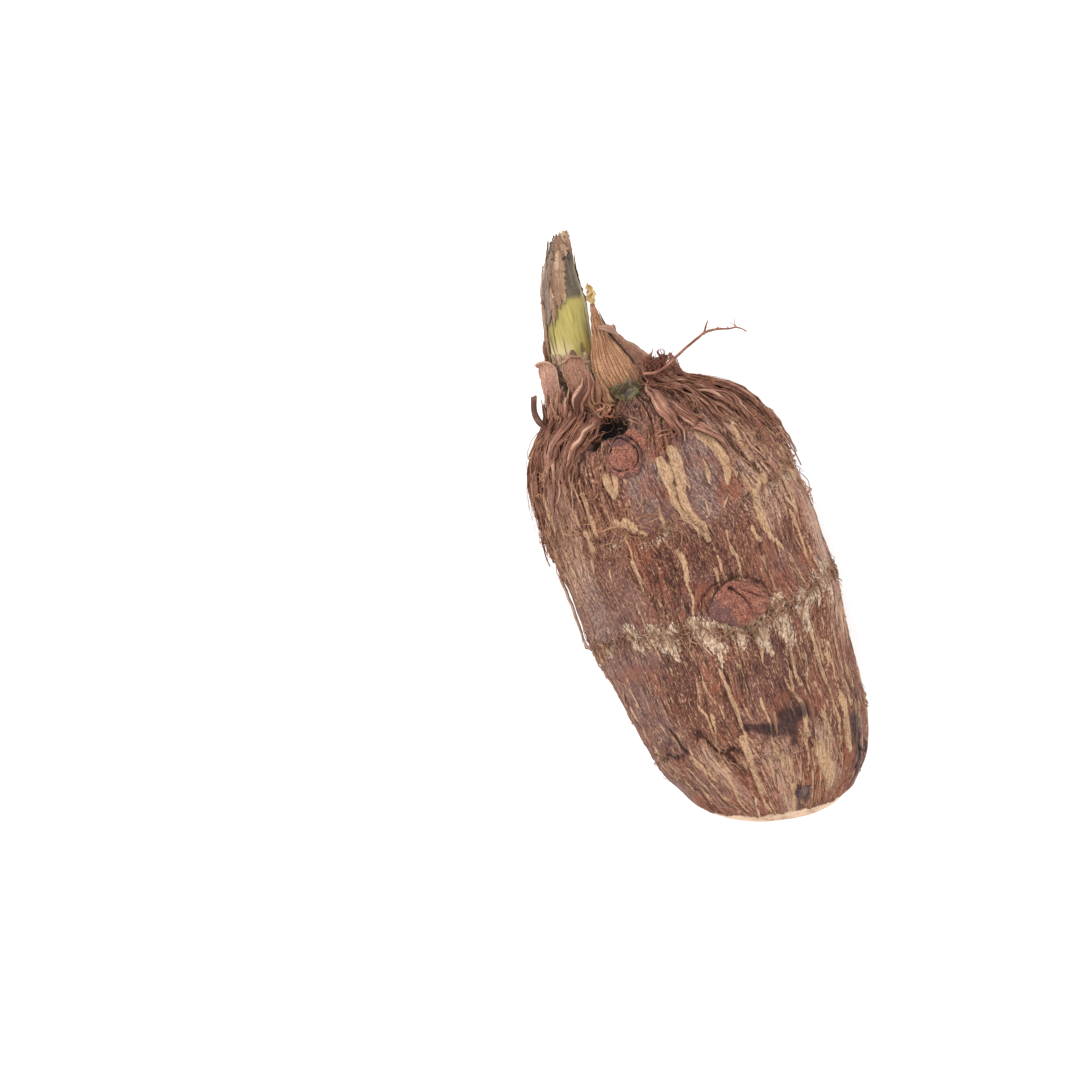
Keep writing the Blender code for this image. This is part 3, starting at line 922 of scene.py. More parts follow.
@dataclass(frozen=True)
class Mark:
    """A line drawn on the skin through (angle in degrees, y) stations."""

    stations: tuple[tuple[float, float], ...]
    width: float
    end_width: float
    run: Run
    soft: float

    def offset(self, angle: Array, y: Array) -> Array:
        """How far above a ring each point lies, along Y."""
        stations = np.array(sorted(self.stations))
        return y - np.interp(angle, stations[:, 0], stations[:, 1], period=360.0)

    def cover(self, angle: Array, y: Array, around: float = MEAN_RADIUS) -> Array:
        """How much of the mark covers each point.

        Args:
            angle: the points' angles.
            y: the points' y.
            around: radius that turns angles into lengths.

        Returns:
            1 on the mark, falling to 0 beside it.
        """
        column, row = (1, 0) if self.run is Run.ALONG else (0, 1)
        ends = (self.width, self.end_width or self.width)
        if self.stations[0][column] > self.stations[-1][column]:
            ends = ends[::-1]
        stations = np.array(sorted(self.stations, key=lambda s: s[column]))
        key, value = (y, angle) if self.run is Run.ALONG else (angle, y)
        period = 360.0 if self.run is Run.RING else None
        middle = np.interp(key, stations[:, column], stations[:, row], period=period)
        low, high = stations[0, column], stations[-1, column]
        half = (ends[0] + (ends[1] - ends[0]) * np.clip((key - low) / (high - low), 0, 1)) / 2
        off = value - middle
        past = np.maximum(np.maximum(low - key, key - high), 0) * (self.run is not Run.RING)
        if self.run is Run.ALONG:
            off = ((off + 180) % 360 - 180) * math.radians(around)
        else:
            past = past * math.radians(around)
        return 1 - smooth(1 - self.soft, 1 + self.soft, np.hypot(off, past) / half)


def marks(*rows: Sequence[float], run: Run = Run.ALONG) -> tuple[Mark, ...]:
    """Marks from rows of numbers.

    Args:
        rows: for each mark its softness, its width, its end width or 0 where that stays the same, and then the
            angle and y of each station.
        run: which way they run.

    Returns:
        The marks.
    """
    return tuple(
        Mark(tuple(zip(stations[::2], stations[1::2])), width, end_width, run, soft)
        for soft, width, end_width, *stations in rows
    )


def covered(several: Sequence[Mark], angle: Array, y: Array, around: float = MEAN_RADIUS) -> Array:
    """The strongest cover of several marks at each point."""
    return np.maximum.reduce([mark.cover(angle, y, around) for mark in several])


@dataclass
class CormSkin:
    """The corm's skin: the CAD body sampled on a fine grid, then carved with fibres, rings and creases."""

    sides: int = 560
    base_rows: int = 40
    body_rows: int = 80
    crown_rows: int = 50
    base_inset: float = 22.0
    crown_inset: float = 24.0
    flatness: float = 0.9
    # Relief: rate around, rate along and height of the fibres, then rate and height of the lumps.
    fibre_relief: Rows = (
        (0.16, 0.02, 0.42), (0.45, 0.05, 0.27), (1.1, 0.13, 0.15), (2.1, 0.4, 0.09),
    )
    lump_relief: Rows = ((0.06, 0.55), (0.16, 0.3))
    # Leaf scar rings, each with how boldly it shows.
    rings: tuple[tuple[Mark, float], ...] = tuple(zip(marks(
        (0.35, 2.6, 0, 158, 17, 141, 15.1, 128, 13.1, 110, 12.2, 94, 10.3, 84, 5.5, 74, 8.4, 64, 10.3, 51, 12.2, 36,
         15.1, 12, 18, 300, 13, 240, 11, 200, 15),
        (0.35, 2.4, 0, 156, -11.6, 139, -11.3, 129, -12.6, 119, -13, 109, -13.9, 102, -14.8, 91, -16.7, 84, -18.2, 75,
         -17.3, 65, -15.9, 54, -16, 41, -13.8, 27, -12, 330, -14, 270, -17, 210, -13),
        (0.35, 2.2, 0, 10, -47, 60, -49, 100, -50, 125, -42, 160, -43, 210, -46, 300, -47),
        run=Run.RING), (0.6, 1.0, 0.35)))
    # Long splits between the bark's strips: rate around, rate along, width and depth.
    splits: Rows = (
        (0.20, 0.014, 0.075, 0.75), (0.42, 0.03, 0.085, 0.45), (0.95, 0.07, 0.10, 0.22),
    )
    cork_streaks: tuple[Mark, ...] = marks(
        (0.35, 4.5, 1.6, 87.2, 21.4, 87.6, 19.5, 88.5, 16.2, 87.7, 12.1, 85, 9.3, 83.4, 6.2, 82.9, 4.6),
        (0.35, 2.3, 3, 90.2, 26.4, 89.7, 24, 88.6, 20.4), (0.35, 2.6, 3.2, 83.8, 27.8, 84.2, 25.2, 85.9, 20.4),
        (0.35, 3.7, 1.2, 66.8, 28.8, 64.4, 27.2, 62.8, 24.8, 62.4, 21.5, 64, 17.8, 65.4, 15.8),
        (0.35, 0.9, 0, 72.5, 23.5, 72.7, 20.4, 73.2, 17.4), (0.35, 1.5, 1, 47, 29.2, 49, 25.8, 49, 19.9),
        (0.35, 3, 1.8, 49, 14.1, 56, 11.2, 57, 8.3, 56, 2.5), (0.35, 1.4, 0, 35, 16, 36, 10.2, 37, 4.3),
        (0.35, 1.2, 0, 22, 20, 25, 12.1), (0.35, 1.1, 0, 150, 24, 148, 14), (0.35, 1.2, 0, 141, 28, 139, 18),
        (0.35, 1.2, 0, 170, 20, 167, 6), (0.35, 1.4, 0, 161, 27.9, 159, 21.9, 156, 14.1, 156, 8.2),
        (0.35, 1.6, 0, 129, 24.8, 130, 19.9, 128, 14.6), (0.6, 1.9, 1.3, 116, 26.9, 115.6, 24.4, 113.4, 21.8),
        (0.6, 1.7, 1.1, 110.2, 27.2, 111.6, 25.4, 112.8, 22.4), (0.6, 1.1, 0, 107.6, 25.8, 106.6, 24.4),
        (0.7, 1.9, 1.3, 117.5, 15.8, 112, 13.4, 106.3, 10.8), (0.7, 1.3, 0.9, 113, 15.6, 108.6, 13),
        (0.35, 1.5, 0, 136, 16, 134, 11.2), (0.35, 1.2, 0, 97, 4.5, 96, 0.7, 97, -2.2),
        (0.35, 1, 0, 117, 5.4, 116, 0.6), (0.35, 1.1, 0, 63, 4, 62, 0.6), (0.35, 1.2, 0, 57, 4.4, 56, 0.6, 52, -2.9),
        (0.35, 1, 0, 40, 4.3, 39, -7.4), (0.35, 2.6, 1, 102, -44.3, 103, -50.4, 104, -55.4, 106, -59.6, 106, -65),
        (0.35, 1, 0, 120, -46.5, 120, -51.6, 121, -55.7, 126, -62.6),
        (0.35, 1.2, 0, 133, -44.8, 130, -47.8, 129, -51.8), (0.35, 1, 0, 98, -26.5, 100, -43.3),
        (0.35, 1.1, 0, 68, -40.4, 68, -48.4), (0.35, 1, 0, 51, -19, 49, -36.8, 45, -48.9),
        (0.35, 2.2, 1.4, 40, -43, 38, -49.1, 38, -56.2), (0.35, 1.3, 0, 83, -59.6, 87, -65.5),
        (0.35, 1, 0, 92, -51.3, 94, -58.5), (0.35, 0.9, 0, 87, -49.3, 86, -54.4), (0.9, 4, 5, 63, -52.6, 56, -61))
    scurf_patches: tuple[Mark, ...] = marks(
        (0.9, 7, 4.4, 100, -15.6, 94.5, -21.4), (0.9, 5, 2.6, 65, -15, 63, -25.5),
        (0.9, 5, 2.2, 52.5, -16, 51.5, -24.5), (0.9, 5, 2.4, 76.4, -17.5, 75, -26), (0.9, 5, 2, 86, -18.6, 84, -23),
        (0.9, 5.5, 2, 31, -12, 30, -19), (0.9, 4, 1.6, 40, -13.5, 41, -19), (0.9, 5, 3, 132, -10.5, 131, -15),
        (0.9, 4.5, 0, 119, -12, 118, -16), (0.9, 3.4, 1.4, 110, -13, 111, -18), (0.9, 3, 1, 114, -13.9, 114.5, -21.5),
        (0.9, 3, 1, 96.5, -16, 96.7, -25)) + marks(
        (0.9, 2.2, 2.8, 94, -15.4, 88.5, -17.4, 84, -18.4), (0.9, 2.2, 1.8, 64, -14.8, 70.5, -17.6),
        run=Run.AROUND)
    # Paler bark, with painted rim light on the flanks.
    pale_patches: tuple[Mark, ...] = marks(
        (1, 17, 0, 50, 10, 48, 27), (1, 17, 0, 152, 8, 150, 36), (1, 15, 0, 22, -24, 24, 12),
        (1, 8, 0, 124, -46, 118, -60), (1, 15, 0, 88, -52, 88, -63), (1, 9, 0, 60, -50, 52, -60))
    slate_patches: tuple[Mark, ...] = marks(
        (1, 2.4, 4.6, 97, -41.5, 90, -43.5, 82, -45, 70, -42.6), run=Run.AROUND) + marks(
        (1, 5, 2.4, 76.5, -43, 77, -49), (1, 4.4, 0, 80, -62, 82, -66), (1, 6, 4, 30, -50, 26, -60, 20, -64))
    # Smoother greyish bark over the swellings, and the darker band below the upper ring.
    lilac_patches: tuple[Mark, ...] = marks(
        (0.8, 9, 6, 74, 26, 76, 18, 78, 11.5), (0.9, 9, 6, 98, 25, 102, 17), (0.9, 4, 0, 54, 26, 57, 16),
        (1, 8, 0, 148, 4, 150, -8))
    shaded_patches: tuple[Mark, ...] = marks(
        (1, 10, 0, 105, 8, 104, -8), (1, 14, 0, 86, 1, 84, -6), (1, 12, 0, 74, -24, 76, -36),
        (1, 5, 0, 62, -56, 70, -52), (1, 11, 0, 119, -25, 121, -38))
    creases: tuple[Mark, ...] = marks(
        (0.35, 0.6, 0, 86.5, 26.2, 86.9, 23.1, 87.3, 20.2, 88.9, 16.2, 88.3, 13.4, 86.2, 10.5, 83.3, 6.8),
        (0.8, 1.7, 0, 138, -37, 135, -42.9), (0.8, 1.5, 0, 124, -39.6, 118, -44.5, 113, -47.4, 112, -49.4)) + marks(
        (0.8, 1.1, 0, 113, -46.8, 103, -47.8), (0.8, 1.2, 0, 162, -42.7, 138, -44), run=Run.AROUND)
    pillows: tuple[Mark, ...] = marks(
        (1, 12, 9, 78.5, 12.2, 76.8, 19.9, 75.4, 27), (1, 9, 0, 100, 14, 99.5, 25), (1, 10, 0, 48, 16, 50, 26),
        (1, 16, 0, 90, -24, 88, -38))
    crown_cavity: tuple[Mark, ...] = marks(
        (0.7, 4.8, 0, 105, 38.4, 111, 38.6, 118, 39.4), (0.8, 2.2, 0, 120, 35.6, 123, 35.8),
        run=Run.AROUND)
    # Where the side buds sit: angle, y, and half sizes across and along.
    sockets: Rows = ((105.3, 29.8, 3.9, 4.7), (81.9, -12.2, 7.2, 5.8))
    # Scattered cork streaks: how many, angles and y.
    streak_zones: Rows = (
        (34, 20, 160, -62, -20), (34, 0, 90, -60, -18), (26, 10, 170, -10, 26),
        (70, 160, 380, -60, 30),
    )
    cut_reach: tuple[float, float] = (2.5, 3.7)
    flat_reach: float = 14.0  # how far up from the cut the skin may be flattened to it
    pillow_height: float = 0.85
    step_height: float = 0.8
    under_depth: float = 0.45
    cork_height: float = 0.35
    streak_height: float = 0.16
    scurf_height: float = 0.3
    crease_depth: float = 0.8
    cavity_depth: float = 4.6
    socket_depth: float = 0.6
    level_step: float = 0.5
    lowest: float = 0.2  # how near the floor a point on the skin may be given

    def __post_init__(self) -> None:
        """Samples the CAD corm and carves the skin."""
        self.shape = NodeShape("corm")
        mounts = {m["name"]: m for m in frame["record"]["mounts"]}
        self.cut_point = np.array(mounts["cut_base"]["pos_m"]) / MM
        self.cut_way = np.array(mounts["cut_base"]["axis"])
        self._sample()
        self._carve()
        self._index()

    def _sample(self) -> None:
        """Finds the smooth base shape: rays from two points on the axis and from the line between them."""
        low, high = self.shape.low, self.shape.high
        guess = (low + high) / 2
        near = self.shape.middle((guess[0], low[1] + self.base_inset, guess[2]))
        far = self.shape.middle((guess[0], high[1] - self.crown_inset, guess[2]))
        rows = self.base_rows + self.body_rows + self.crown_rows
        row = np.arange(rows + 1)
        share = np.clip((row - self.base_rows) / self.body_rows, 0, 1)
        tilt = np.where(row < self.base_rows, (row - self.base_rows) / self.base_rows,
                        np.maximum(row - self.base_rows - self.body_rows, 0) / self.crown_rows) * math.pi / 2
        self.angle = np.broadcast_to(np.arange(self.sides) * 360 / self.sides, (rows + 1, self.sides))
        turn = np.radians(self.angle)
        tilt = tilt[:, None]
        ways = joined(np.cos(tilt) * np.cos(turn), np.sin(tilt) * np.ones_like(turn),
                         self.flatness * np.cos(tilt) * np.sin(turn))
        self.ways = unit(ways)
        self.starts = (near + (far - near) * share[:, None])[:, None, :] * np.ones((1, self.sides, 1))
        cast = self.shape.tree.ray_cast
        reach = np.array([
            cast(Vector(start), Vector(way))[3]
            for start, way in zip(self.starts.reshape(-1, 3), self.ways.reshape(-1, 3))
        ]).reshape(turn.shape)
        reach = blurred(blurred(reach, 2.0, 0, False), 5.0, 1, True)
        self.reach = reach
        base = self.starts + self.ways * reach[..., None]
        steps = np.linalg.norm(np.diff(base, axis=0), axis=-1).mean(1)
        self.path = np.concatenate([[0], np.cumsum(steps)])
        self.base = base

    def _carve(self) -> None:
        """Adds relief and works out where each kind of surface shows."""
        turn = np.radians(self.angle)
        base = self.base
        y = base[..., 1]
        sway = joined(*(Grain(12 + k).at(base * 0.045) for k in range(2)))
        grain = around_y(turn, MEAN_RADIUS, self.path[:, None] * np.ones_like(turn))
        grain[..., ::2] += 2.6 * sway
        self.grain = grain
        drift = Grain(11)
        angle = self.angle + 1.1 * drift.at(base * 0.12) + 0.9 * drift.at(grain * (1.1, 0.2, 1.1))
        along = y + 1.1 * Grain(18).at(base * 0.09) + 1.7 * Grain(17).at(grain * (0.5, 0.03, 0.5))
        pillow = covered(self.pillows, angle, y)
        smooth_spot = covered(self.pillows[:2], angle, y)
        shoulder = smooth(4, 22, y)
        level = Grain(45).at(base * 0.05)

        cork = covered(self.cork_streaks, angle, y)
        relief = self.pillow_height * pillow + sum(
            height * Grain(20 + k).at(base * rate) for k, (rate, height) in enumerate(self.lump_relief))
        for k, (across, length, height) in enumerate(self.fibre_relief):
            relief = relief + height * (1 - 0.7 * smooth_spot) * Grain(30 + k).at(grain * (across, length, across))
        split = np.zeros_like(y)
        for k, (across, length, width, depth) in enumerate(self.splits):
            line = 1 - smooth(0.3, 1.0, np.abs(Grain(40 + k).at(grain * (across, length, across))) / width)
            patchy = smooth(-0.35, 0.15, Grain(50 + k).at(base * 0.08) + 0.35 * shoulder)
            line = line * patchy * (1 - smooth_spot)
            line = line * (1 - 0.85 * smooth(0.1, 0.5, cork))
            relief = relief - depth * line * (0.55 + 0.75 * shoulder)
            split = np.maximum(split, line * (0.6 + 0.4 * shoulder))

        step, under, scales = np.zeros_like(y), np.zeros_like(y), np.zeros_like(y)
        strength = np.clip(0.65 + 0.8 * Grain(42).at(base * 0.1), 0.1, 1)
        for ring, bold in self.rings:
            off = ring.offset(angle, along)
            step = np.maximum(step, bold * smooth(-0.3, 0.4, off) * (1 - smooth(0.5, 9, off)))
            under = np.maximum(under, bold * smooth(-1.6, -0.3, off) * (1 - smooth(-0.2, 0.2, off)))
            scales = np.maximum(scales, bold * (1 - smooth(0.8, 3.2, np.abs(off + 1.6))))
        relief = relief + self.step_height * step * strength - self.under_depth * under * strength
        fine = covered(self._random_streaks(), angle, y)
        scurf = covered(self.scurf_patches, angle, along)
        crease = covered(self.creases, angle, along)
        cavity = covered(self.crown_cavity, angle, y)
        socket = np.zeros_like(y)
        for turn_at, level_at, across, along_half in self.sockets:
            off = np.radians(angle - turn_at) * MEAN_RADIUS / across
            up = (y - level_at) / along_half
            ring = np.exp(-(((np.hypot(off, up) - 1.12) / 0.11) ** 2)) * smooth(-0.3, 0.5, up)
            socket = np.maximum(socket, ring)
        relief = relief + self.cork_height * cork + self.streak_height * fine + self.scurf_height * scurf
        relief = relief - self.crease_depth * crease - self.cavity_depth * cavity - self.socket_depth * socket

        point = self.starts + self.ways * (self.reach + relief)[..., None]
        inside = -(point - self.cut_point) @ self.cut_way
        wobble = 0.8 * Grain(43).at(base * 0.3) + 0.5 * Grain(44).at(base * 0.9)
        rim = 1 - smooth(0.2, self.cut_reach[1], inside + wobble)
        flat = rim * (y < self.cut_point[1] + self.flat_reach)
        sideways = smooth(0.3, 0.8, np.hypot(self.ways[..., 0], self.ways[..., 2]))
        trimmed = self.reach + relief * (1 - flat) - 0.7 * flat * sideways
        point = self.starts + self.ways * trimmed[..., None]
        past = np.maximum((point - self.cut_point) @ self.cut_way, 0)
        rough = 0.5 * Grain(47).at(base * 0.4) + 0.3 * Grain(48).at(base * 1.3)
        point = point - (past + rough * smooth(0, 0.4, past))[..., None] * self.cut_way
        point[..., 2] = np.maximum(point[..., 2], 0)
        for end in (0, -1):
            point[end] = point[end].mean(0)
        self.place = point
        # left and right: the flanks, where the plum-grey tint is a painted sheen at the grazing edges
        left = smooth(95, 165, self.angle) * (1 - smooth(200, 250, self.angle))
        right = 1 - smooth(15, 50, self.angle) + smooth(320, 350, self.angle)
        broken = smooth(-0.4, 0.2, Grain(46).at(base * 0.22))
        self.shares = {
            "cork": np.maximum(cork, 0.7 * fine),
            "scurf": np.maximum(scurf, 0.7 * scales * broken) * (0.6 + 0.4 * broken),
            # slate patches, and painted shade along the creases
            "slate": np.maximum(covered(self.slate_patches, angle, y), 0.5 * crease),
            "grey": np.clip(0.9 * smooth_spot + 0.3 * left + 0.3 * right + 0.35 * level, 0, 1),
            "rust": np.clip(smooth(-46, -62, y) + 0.5 * level, 0, 1),
            "streaks": smooth(-14, -24, y) + 0.5 * smooth(4, -2, y) + 0.45 * right,
            "pale": covered(self.pale_patches, angle, y),
            "lilac": covered(self.lilac_patches, angle, y),
            "shaded": covered(self.shaded_patches, angle, y),
            "hollow": cavity,
            # painted shade: splits, the recess under each ring step, the cavity, the creases, the skin under the husk
            # towards the crown and the rings round the bud sockets
            "painted_shade": np.maximum.reduce([split, 0.75 * under * strength, 1.2 * cavity, (0.9 - 0.3 * cork) * crease,
                                          0.42 * smooth(33, 43, y), 0.75 * socket]),
            "cut": 1 - smooth(*self.cut_reach, inside + wobble),
        }

    def _random_streaks(self) -> list[Mark]:
        """Fine cork streaks scattered over the zones, from a fixed seed.

        Returns:
            The streaks.
        """
        draw = np.random.default_rng(7)
        made = []
        for count, first, last, low, high in self.streak_zones:
            for _ in range(count):
                angle, y = draw.uniform(first, last), draw.uniform(low, high)
                length = draw.uniform(3, 17)
                bend = draw.normal(0, 1.6, 3)
                stations = tuple((angle + bend[k] * k / 2, y - length * k / 2) for k in range(3))
                made.append(Mark(stations, draw.uniform(0.5, 1.15), draw.uniform(0.3, 0.7), Run.ALONG, 0.35))
        return made

    def _index(self) -> None:
        """Prepares the lookup of points on the skin by angle and y."""
        self.levels = np.arange(self.cut_point[1] + 1.0, self.shape.high[1] - 1.0, self.level_step)
        y = self.place[..., 1]
        order = np.maximum.accumulate(y + 1e-6 * np.arange(len(y))[:, None], axis=0)
        table = np.stack([
            joined(*(np.interp(self.levels, order[:, c], self.place[:, c, axis]) for axis in (0, 2)))
            for c in range(self.sides)
        ], 1)
        full = joined(table[..., 0], np.broadcast_to(self.levels[:, None], table.shape[:2]), table[..., 1])
        soft = blurred(blurred(full, 3.0, 0, False), 7.0, 1, True)
        up = np.gradient(soft, axis=0)
        across = (np.roll(soft, -1, 1) - np.roll(soft, 1, 1)) / 2
        self.table = full
        self.normals = unit(np.cross(up, across))

    def on_skin(self, angle: Array, y: Array, lift: Array | float = 0.0) -> tuple[Array, Array]:
        """Points on or above the skin.

        Args:
            angle: angles in degrees.
            y: their y.
            lift: how far above the skin they are.

        Returns:
            The points and the skin's outward ways there.
        """
        column = (np.asarray(angle) % 360) * self.sides / 360
        row = np.clip((np.asarray(y) - self.levels[0]) / self.level_step, 0, len(self.levels) - 1.001)
        c, r = np.floor(column).astype(int), np.floor(row).astype(int)
        fc, fr = (column - c)[..., None], (row - r)[..., None]
        c, c2 = c % self.sides, (c + 1) % self.sides
        found = []
        for grid in (self.table, self.normals):
            near = grid[r, c] * (1 - fc) + grid[r, c2] * fc
            far = grid[r + 1, c] * (1 - fc) + grid[r + 1, c2] * fc
            found.append(near * (1 - fr) + far * fr)
        point, normal = found
        point = point + normal * np.asarray(lift)[..., None]
        point[..., 2] = np.maximum(point[..., 2], self.lowest)
        return point, normal

    def piece(self) -> Piece:
        """Makes the skin's mesh.

        Returns:
            The piece, standing for the CAD corm.
        """
        kept = {"grain_place": self.grain, **self.shares}
        made = grid_piece("corm_skin", self.place, True, SkinFinish().material(), kept)
        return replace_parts(made, "corm")


# ---- the leaf stalk and the dry leaf scales


@dataclass
class LeafStalk:
    """The stalk's tube with its torn hollow top, and the papery strips that peel off it."""

    sides: int = 96
    rows: int = 150
    hollow_rows: int = 22
    foot: float = 46.4
    radius: float = 5.0  # about: turns its angles into lengths
    torn_depth: float = 1.7
    hollow_depth: float = 9.0
    hollow_lean: float = 0.3  # how far the hollow leans to the left, as a share of its depth
    hollow_width: float = 0.97
    # Strips: angle at the foot and top, y at the foot and top, and half width.
    strips: Rows = (
        (118, 112, 68, 79, 0.8), (103, 98, 70, 83.5, 1), (90, 91, 71, 84, 1.3), (84, 86, 72.5, 79, 0.6),
        (188, 176, 62, 82, 0.9), (200, 190, 60, 78, 1.3), (172, 160, 58, 74, 0.9),
        (250, 240, 56, 72, 1.5), (300, 310, 60, 80, 1.4), (340, 350, 66, 82, 0.9),
        (225, 215, 70, 84, 1), (100, 84, 81.5, 87.4, 1.1), (62, 60, 82, 88.4, 1), (78, 76, 82, 88.2, 1),
        (114, 98, 72, 86, 0.6), (126, 120, 66.5, 76, 0.6),
        (40, 40, 82.5, 88.2, 1), (148, 150, 50, 60.5, 1), (130, 128, 50, 59.8, 1.2), (110, 108, 50, 59, 1.3),
        (90, 92, 50, 59.6, 1.2), (70, 66, 50, 58.2, 1.2), (60, 66, 50, 60.6, 0.5),
    )
    ashen_strips: Rows = (
        (156, 138, 66.5, 80, 0.9), (143, 130, 67, 78, 0.7), (170, 150, 70, 83, 0.8),
        (130, 114, 70.5, 84, 0.5), (120, 104, 82, 87.4, 0.9), (136, 120, 74, 84.5, 0.8),
    )
    slate_bands: tuple[Mark, ...] = marks(
        (0.9, 2, 2.8, 122, 73, 112, 84), (0.5, 7.6, 6, 48, 75, 50, 82), (1, 3, 0, 150, 70, 140, 80),
        (0.7, 3.4, 0, 250, 66, 256, 84), (0.7, 3, 0, 330, 72, 322, 85), (0.7, 2.4, 0, 190, 68, 186, 80))

    def __post_init__(self) -> None:
        """Samples the CAD stalk."""
        shape = NodeShape("leaf_stalk")
        self.top = shape.high[1]
        levels = np.linspace(self.foot, self.top - 1.5, self.rows)
        spot = shape.middle(((shape.low[0] + shape.high[0]) / 2 - 2, self.foot, shape.low[2] + 5))
        middles = []
        for y in levels:
            spot = shape.middle((spot[0], y, spot[2]))
            middles.append(spot)
        middles = blurred(np.array(middles), 4.0, 0, False)
        middles[:, 1] = levels
        turns = np.radians(np.arange(self.sides) * 360 / self.sides)
        ways = around_y(turns, 1.0, 0 * turns)
        reach = np.array([[shape.reach(m, w) for w in ways] for m in middles])
        reach = blurred(blurred(reach, 3.0, 0, False), 3.0, 1, True)
        self.levels, self.middles, self.ways, self.base = levels, middles, ways, reach
        self.turns = turns

    def outer(self, turn: float, y: float, lift: float) -> tuple[Array, Array]:
        """A point over the stalk.

        Args:
            turn: angle in degrees round it.
            y: its y, which may pass the top.
            lift: how far above the surface.

        Returns:
            The point and the way out.
        """
        way = around_y(math.radians(turn), 1.0, 0.0)
        middle = np.array([np.interp(y, self.levels, self.middles[:, k]) for k in range(3)])
        middle[1] = y
        column = turn % 360 * self.sides / 360
        low = int(column) % self.sides
        reach = self.base[:, low] * (1 - column % 1) + self.base[:, (low + 1) % self.sides] * (column % 1)
        return middle + way * (np.interp(y, self.levels, reach) + lift), way

    def piece(self) -> Piece:
        """Makes the tube: its wall, its torn rim and the hollow inside it.

        Returns:
            The piece.
        """
        grain, torn = Grain(60), Grain(61)
        turn = np.broadcast_to(self.turns, self.base.shape)
        y = np.broadcast_to(self.levels[:, None], self.base.shape)
        place = around_y(turn, self.radius, y)
        relief = 0.16 * grain.at(place * (0.9, 0.05, 0.9)) + 0.09 * grain.at(place * (2.2, 0.10, 2.2))
        relief += 0.22 * grain.at(place * (0.25, 0.22, 0.25)) * smooth(74, 84, y)
        ring = self.ways * self.radius
        jag = torn.at(ring * (0.55, 0, 0.55)) + 0.8 * torn.at(ring * (1.7, 0, 1.7) + 9)
        drop = self.torn_depth * np.clip(0.42 + 0.6 * jag, 0, 1.3)
        drop = drop + 1.9 * smooth(85, 165, np.degrees(turn)) * (1 - smooth(190, 260, np.degrees(turn)))
        near_top = smooth(0.55, 1.0, (y - self.foot) / (self.top - self.foot))
        y = y - drop * near_top + 1.2 * near_top
        wall = self.middles[:, None, :] + self.ways * (self.base + relief)[..., None]
        wall[..., 1] = y
        depth = shares(self.hollow_rows)[:, None]
        inner_share = 0.80 - 0.25 * depth**2
        mouth = (self.base[-1] * self.hollow_width)[None, :, None]
        inner = self.middles[-1] + self.ways[None] * mouth * inner_share[..., None]
        inner[..., 1] = wall[-1, :, 1][None] - depth * self.hollow_depth
        inner[..., 0] -= depth * self.hollow_depth * self.hollow_lean
        inner[-1] = inner[-1].mean(0)
        foot = np.broadcast_to(wall[0].mean(0), wall[:1].shape)
        rings = np.concatenate([foot, wall, inner])
        height, angle = rings[..., 1], np.broadcast_to(np.degrees(self.turns), rings.shape[:2])
        inside = np.arange(len(rings))[:, None] > self.rows
        slate = covered(self.slate_bands, angle, height, self.radius)
        slate = np.maximum(slate, 0.62 * smooth(self.top - 7, self.top - 3, height))
        kept = {
            "cream": (1 - smooth(57.0, 69.0, height)) * smooth(50, 115, angle),
            "mustard": (1 - smooth(58, 68, height)) * (1 - smooth(40, 80, angle)),
            "dry": np.maximum(smooth(78.0, 83.0, height) + 0.75 * smooth(112, 150, angle) * smooth(66, 72, height),
                              0.7 * (1 - smooth(56.0, 60.5, height))),
            # painted shade: the inside of the hollow is given full slate
            "slate": np.maximum(slate, inside),
        }
        made = grid_piece("stalk_tube", rings, True, StalkFinish().material(), kept)
        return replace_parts(made, "leaf_stalk")

    def peelings(self) -> list[Piece]:
        """Makes the papery strips along the stalk, lifting towards their torn ends.

        Returns:
            The tan strips and the ashen ones.
        """
        tan = FibreFinish("stalk_paper", rgb(98, 70, 54), rgb(158, 122, 96), rgb(206, 174, 142))
        ashen = FibreFinish("stalk_paper_ashen", rgb(84, 66, 60), rgb(144, 120, 104), rgb(196, 172, 148))
        return [self._paper("stalk_peelings", self.strips, tan),
                self._paper("stalk_sheath", self.ashen_strips, ashen)]

    def _paper(self, name: str, strips: Sequence[Sequence[float]], finish: FibreFinish) -> Piece:
        """Makes one set of strips.

        Args:
            name: the piece's name.
            strips: their routes.
            finish: what they are made of.

        Returns:
            The piece.
        """
        draw = np.random.default_rng(62)
        ribbons = Ribbons(0.16)
        for first, last, low, high, half in strips:
            share = shares(34)
            sway = Grain(int(first)).at(joined(share * 5, share * 0, share * 0 + low))
            rows = [
                self.outer(first + (last - first) * t + 3.0 * w, low + (high - low) * t,
                           0.12 + 0.25 * abs(w) + 0.55 * t**4 + 0.35 * (1 - t) ** 6)
                for t, w in zip(share, sway)
            ]
            width = half * np.minimum(1, 0.15 + 3.2 * share) * np.minimum(1, 0.3 + 3.0 * (1 - share))
            width *= 1 + 0.22 * draw.normal(size=share.size)
            ribbons.add(np.array([r[0] for r in rows]), np.array([r[1] for r in rows]), width, 0.3, 0.14)
        return ribbons.piece(name, finish)

